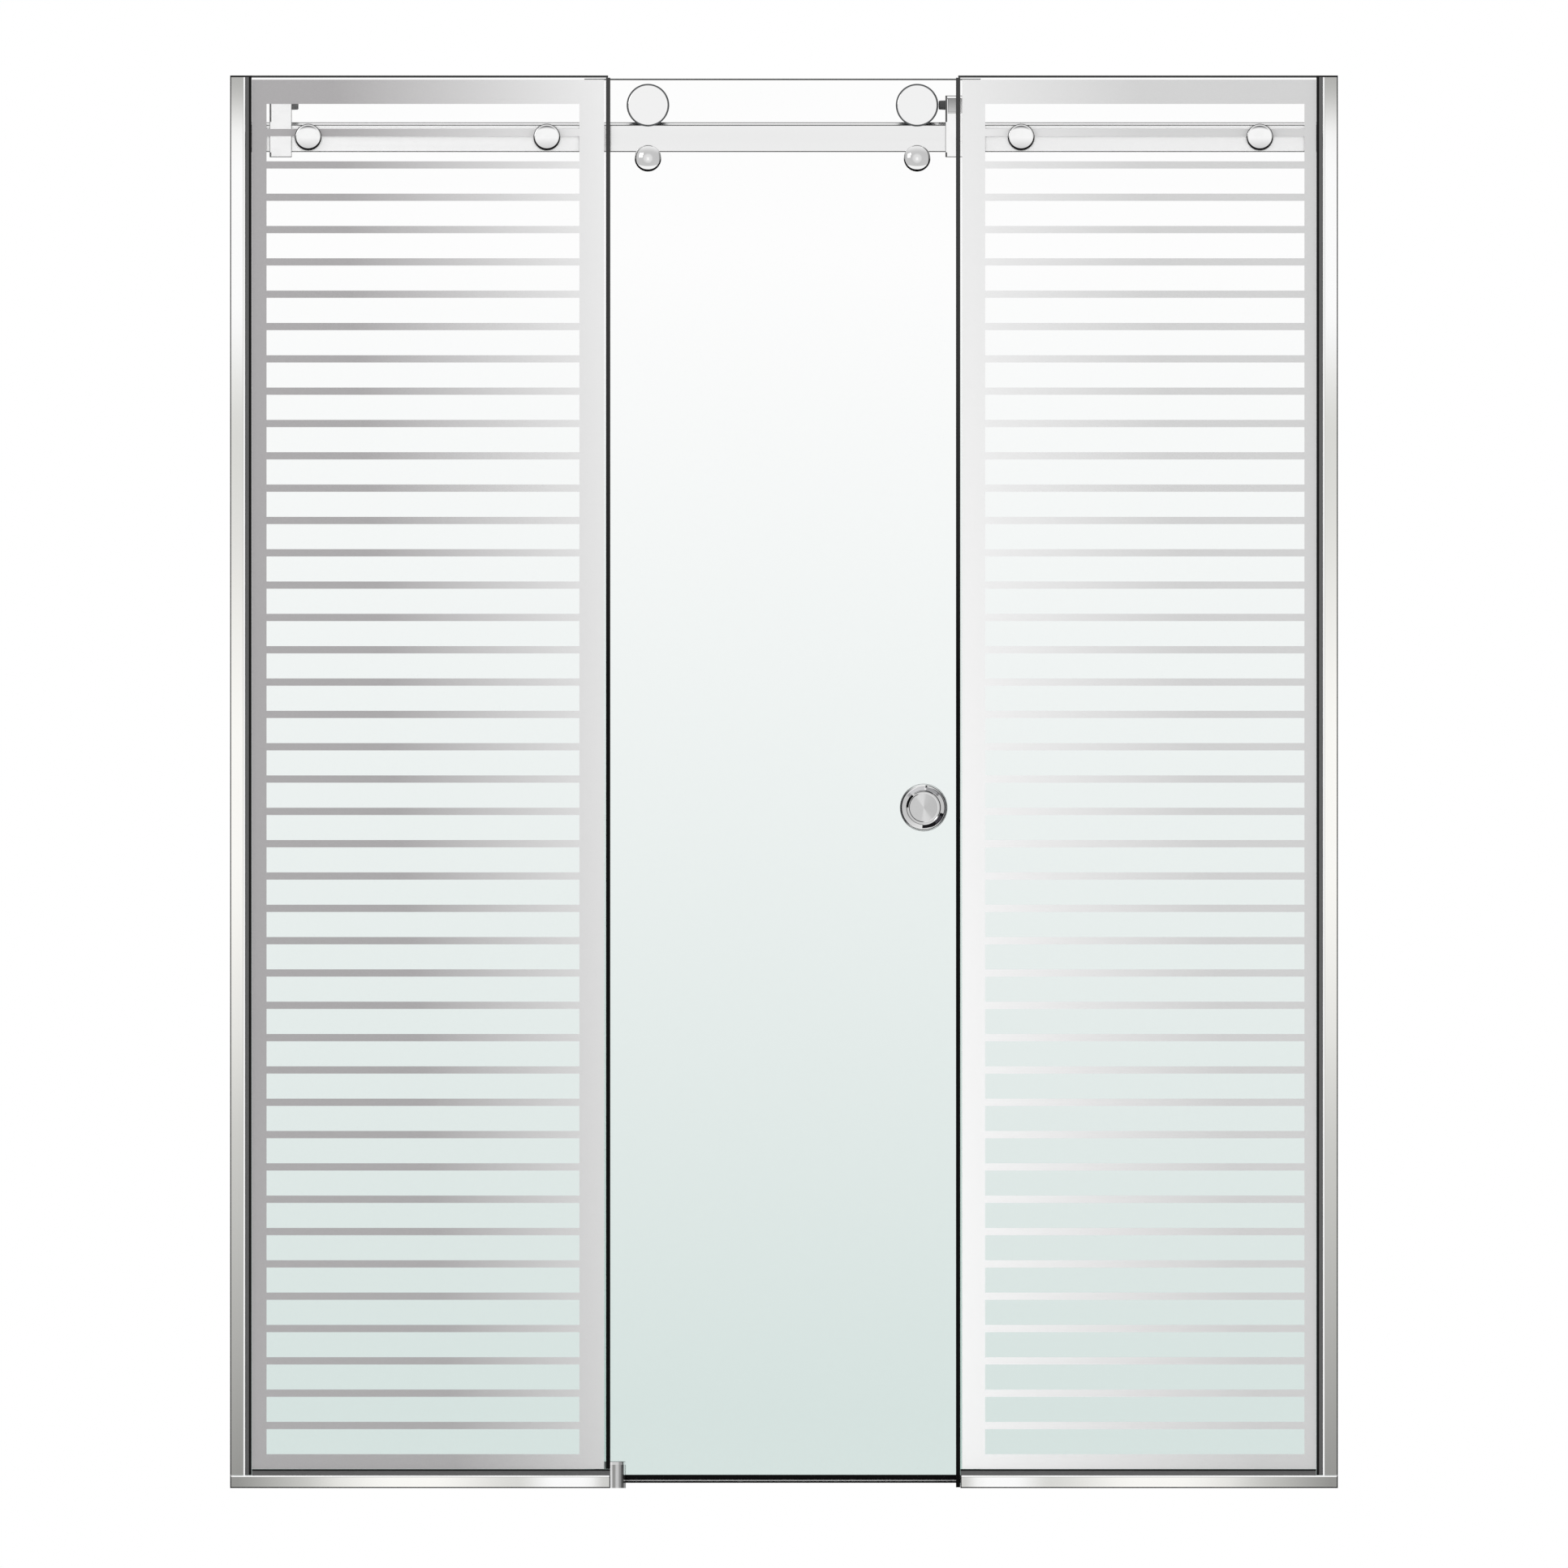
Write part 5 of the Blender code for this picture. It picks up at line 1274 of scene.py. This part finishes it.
class SCREEN_OT_guide(ScreenOperator):
    """Model the bowed floor guide with its slot for the door's foot"""

    bl_idname = "screen_part.guide"
    bl_label = "Floor guide"

    def build(self, settings):
        node = "floor_guide_body"
        low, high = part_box(node)
        liner_low, liner_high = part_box("floor_guide_liner")
        base, bow, edge, bow_steps = 0.0035, 0.013, 0.0011, 48
        half, middle = (high.x - low.x) / 2, (low.x + high.x) / 2
        radius = (half**2 + bow**2) / (2 * bow)
        spread = 2 * math.asin(half / radius)
        slot_front, slot_back = liner_low.y - FIT_GAP, liner_high.y + FIT_GAP
        bm = bmesh.new()
        start = bm.verts.new((low.x, low.y + bow, 0))
        centre = Vector((middle, low.y + radius, 0))
        spun = bmesh.ops.spin(bm, geom=[start], cent=centre, axis=WORLD_UP, angle=spread, steps=bow_steps)
        last = of_kind(spun["geom_last"], bmesh.types.BMVert)[0]
        corners = [bm.verts.new((x, high.y, 0)) for x in (high.x, low.x)]
        for pair in ((last, corners[0]), corners, (corners[1], start)):
            bm.edges.new(pair)
        bmesh.ops.contextual_create(bm, geom=list(bm.edges))
        for depth in (slot_front, slot_back):
            cut(bm, [*bm.verts, *bm.edges, *bm.faces], (0, depth, 0), (0, 1, 0))
        top = raised(bm, list(bm.faces), (0, 0, base))
        cheeks = [face for face in top if not slot_front < face.calc_center_median().y < slot_back]
        raised(bm, cheeks, (0, 0, high.z - base), keep=False)
        bmesh.ops.remove_doubles(bm, verts=bm.verts, dist=MERGE_DISTANCE)
        bmesh.ops.recalc_face_normals(bm, faces=bm.faces)
        sharp = sharp_edges(bm, degrees=40)
        upper = [part for part in sharp if sum(vert.co.z for vert in part.verts) > high.z]
        soften(bm, upper, edge, segments=4)
        add_piece("floor_guide_cast", bm, guide_finish(settings.metal), "frame", [node])


# Levels of the room in the metal's reflections: direction from and to, and level from and to
CEILING = (0.30, 0.95, 0.60, 0.90)
RIGHT_WALL = (0.80, 0.93, 1.0, 0.50)
LEFT_WALL = (-0.99, -0.90, 0.55, 1.0)
GROUND = (-0.91, -0.83, 0.02, 1.0)
REAR_GROUND = (-0.72, -0.50, 0.05, 1.0)
GLOW = (0.86, 0.995, 0.0, 0.80)
# Soft cards in front of the screen: the middle, half width and softness of their directions,
# and the direction along the depth up to which the small card reaches
LOW_CARD = (-0.66, 0.13, 0.09)
SMALL_CARD_ACROSS = (0.0, 0.08, 0.03)
SMALL_CARD_UP = (-0.03, 0.09, 0.03)
SMALL_CARD_LIMIT = -0.6


class SCREEN_OT_stage(ScreenOperator):
    """Set up the pale floor, the soft light and the camera"""

    bl_idname = "screen_part.stage"
    bl_label = "Studio"

    def build(self, settings):
        stage = settings.stage
        self.add_floor(stage)
        self.add_world(stage)
        self.add_lamp("key_lamp", (-1.55, -2.60, 2.40), size=0.9, power=stage.key_power)
        fill = self.add_lamp("fill_lamp", (1.90, -2.40, 1.80), size=1.0, power=stage.fill_power)
        fill.visible_glossy = False
        self.add_camera(stage)
        bpy.context.scene.view_settings.view_transform = "Standard"

    def add_floor(self, stage):
        size, drop, darker = 40.0, 0.0002, 0.985
        bm = bmesh.new()
        bmesh.ops.create_grid(bm, x_segments=1, y_segments=1, size=size)
        bmesh.ops.translate(bm, verts=bm.verts, vec=(0, 0, -drop))
        made = Finish("floor_paint", roughness=0.9, Specular_IOR_Level=0.0)
        made.base(made.noise(scale=1.2), scaled(stage.floor, darker), stage.floor)
        mesh = mesh_from("studio_floor", bm)
        mesh.materials.append(made.done())
        floor = put("studio_floor", mesh)
        floor.visible_glossy = False

    def add_world(self, stage):
        """White behind the object, even daylight on it, and a studio with soft cards in its reflections."""
        world = bpy.data.worlds.new("studio_world")
        bpy.context.scene.world = world
        world.use_nodes = True
        tree = world.node_tree
        path = new_node(tree, "LightPath")
        across, along, up = new_node(tree, "SeparateXYZ", Vector=new_node(tree, "TexCoord")["Generated"])

        levels = ((up, CEILING), (across, RIGHT_WALL), (across, LEFT_WALL), (up, GROUND), (up, REAR_GROUND))
        ceiling, right_wall, left_wall, ground, rear_ground = (
            range_node(tree, value, *ends, smooth=True) for value, ends in levels
        )
        glow = range_node(tree, math_node(tree, "ABSOLUTE", along), *GLOW, smooth=True)
        in_front = math_node(tree, "LESS_THAN", along, 0.0)
        low_card = math_node(tree, "MULTIPLY", band_mask(tree, up, *LOW_CARD), in_front)
        room = math_node(tree, "MAXIMUM", joined(tree, "MULTIPLY", ceiling, right_wall, left_wall), low_card)
        room = joined(tree, "MULTIPLY", room, ground, math_node(tree, "MAXIMUM", rear_ground, in_front))
        sides = (band_mask(tree, across, *SMALL_CARD_ACROSS), band_mask(tree, up, *SMALL_CARD_UP))
        card = joined(tree, "MULTIPLY", *sides, math_node(tree, "LESS_THAN", along, SMALL_CARD_LIMIT))
        level = joined(tree, "MAXIMUM", room, glow, card)

        studio = new_node(tree, "CombineColor", Red=level, Green=level, Blue=level)["Color"]
        around = mix_node(tree, path["Is Glossy Ray"], (stage.sky,) * 3, studio)
        seen = math_node(tree, "MAXIMUM", path["Is Camera Ray"], path["Is Transmission Ray"])
        filled(tree, tree.nodes["Background"], Color=mix_node(tree, seen, around, WHITE))

    def add_lamp(self, name, place, size, power):
        """A square lamp aimed at the middle of the screen, which the camera doesn't see."""
        light = bpy.data.lights.new(name, "AREA")
        light.size = size
        light.energy = power
        lamp = put(name, light)
        lamp.location = place
        aim = Vector((0, 0, (CAD_BOX[0].z + CAD_BOX[1].z) / 2)) - Vector(place)
        lamp.rotation_euler = aim.to_track_quat("-Z", "Y").to_euler()
        lamp.visible_camera = False
        lamp.visible_transmission = False
        return lamp

    def add_camera(self, stage):
        view = bpy.data.cameras.new("front_camera")
        view.type = "ORTHO"
        view.ortho_scale = stage.view_width
        camera = put("front_camera", view)
        camera.location = (0, -stage.view_distance, stage.view_height)
        camera.rotation_euler = (math.pi / 2, 0, 0)
        bpy.context.scene.camera = camera


STEPS = (
    SCREEN_OT_glass,
    SCREEN_OT_enamel,
    SCREEN_OT_channels,
    SCREEN_OT_rubber,
    SCREEN_OT_hardware,
    SCREEN_OT_fixing_caps,
    SCREEN_OT_rollers,
    SCREEN_OT_knobs,
    SCREEN_OT_pull,
    SCREEN_OT_stops,
    SCREEN_OT_guide,
    SCREEN_OT_stage,
)
GROUPS = {
    "glass": GlassSettings,
    "enamel": EnamelSettings,
    "metal": MetalSettings,
    "rubber": RubberSettings,
    "fittings": FittingSettings,
    "stage": StageSettings,
}


class SCREEN_PT_panel(bpy.types.Panel):
    """Sidebar panel that lists the shower screen's pieces and its settings"""

    bl_idname = "SCREEN_PT_panel"
    bl_label = "Shower Screen"
    bl_space_type = "VIEW_3D"
    bl_region_type = "UI"
    bl_category = "Shower Screen"

    def draw(self, context):
        settings = context.scene.shower_screen
        for step in STEPS:
            self.layout.operator(step.bl_idname)
        for name, kind in GROUPS.items():
            box = self.layout.box()
            box.label(text=name.capitalize())
            for setting in kind.__annotations__:
                box.prop(getattr(settings, name), setting)


CLASSES = (*GROUPS.values(), ShowerScreenSettings, *STEPS, SCREEN_PT_panel)


def register():
    for made in CLASSES:
        bpy.utils.register_class(made)
    bpy.types.Scene.shower_screen = bpy.props.PointerProperty(type=ShowerScreenSettings)


def unregister():
    del bpy.types.Scene.shower_screen
    for made in reversed(CLASSES):
        bpy.utils.unregister_class(made)


def main():
    register()
    make_band_group()
    make_grain_group()
    make_spot_group()
    make_smudge_group()
    for step in STEPS:
        family, _, name = step.bl_idname.partition(".")
        getattr(getattr(bpy.ops, family), name)()


if __name__ == "__main__":
    main()
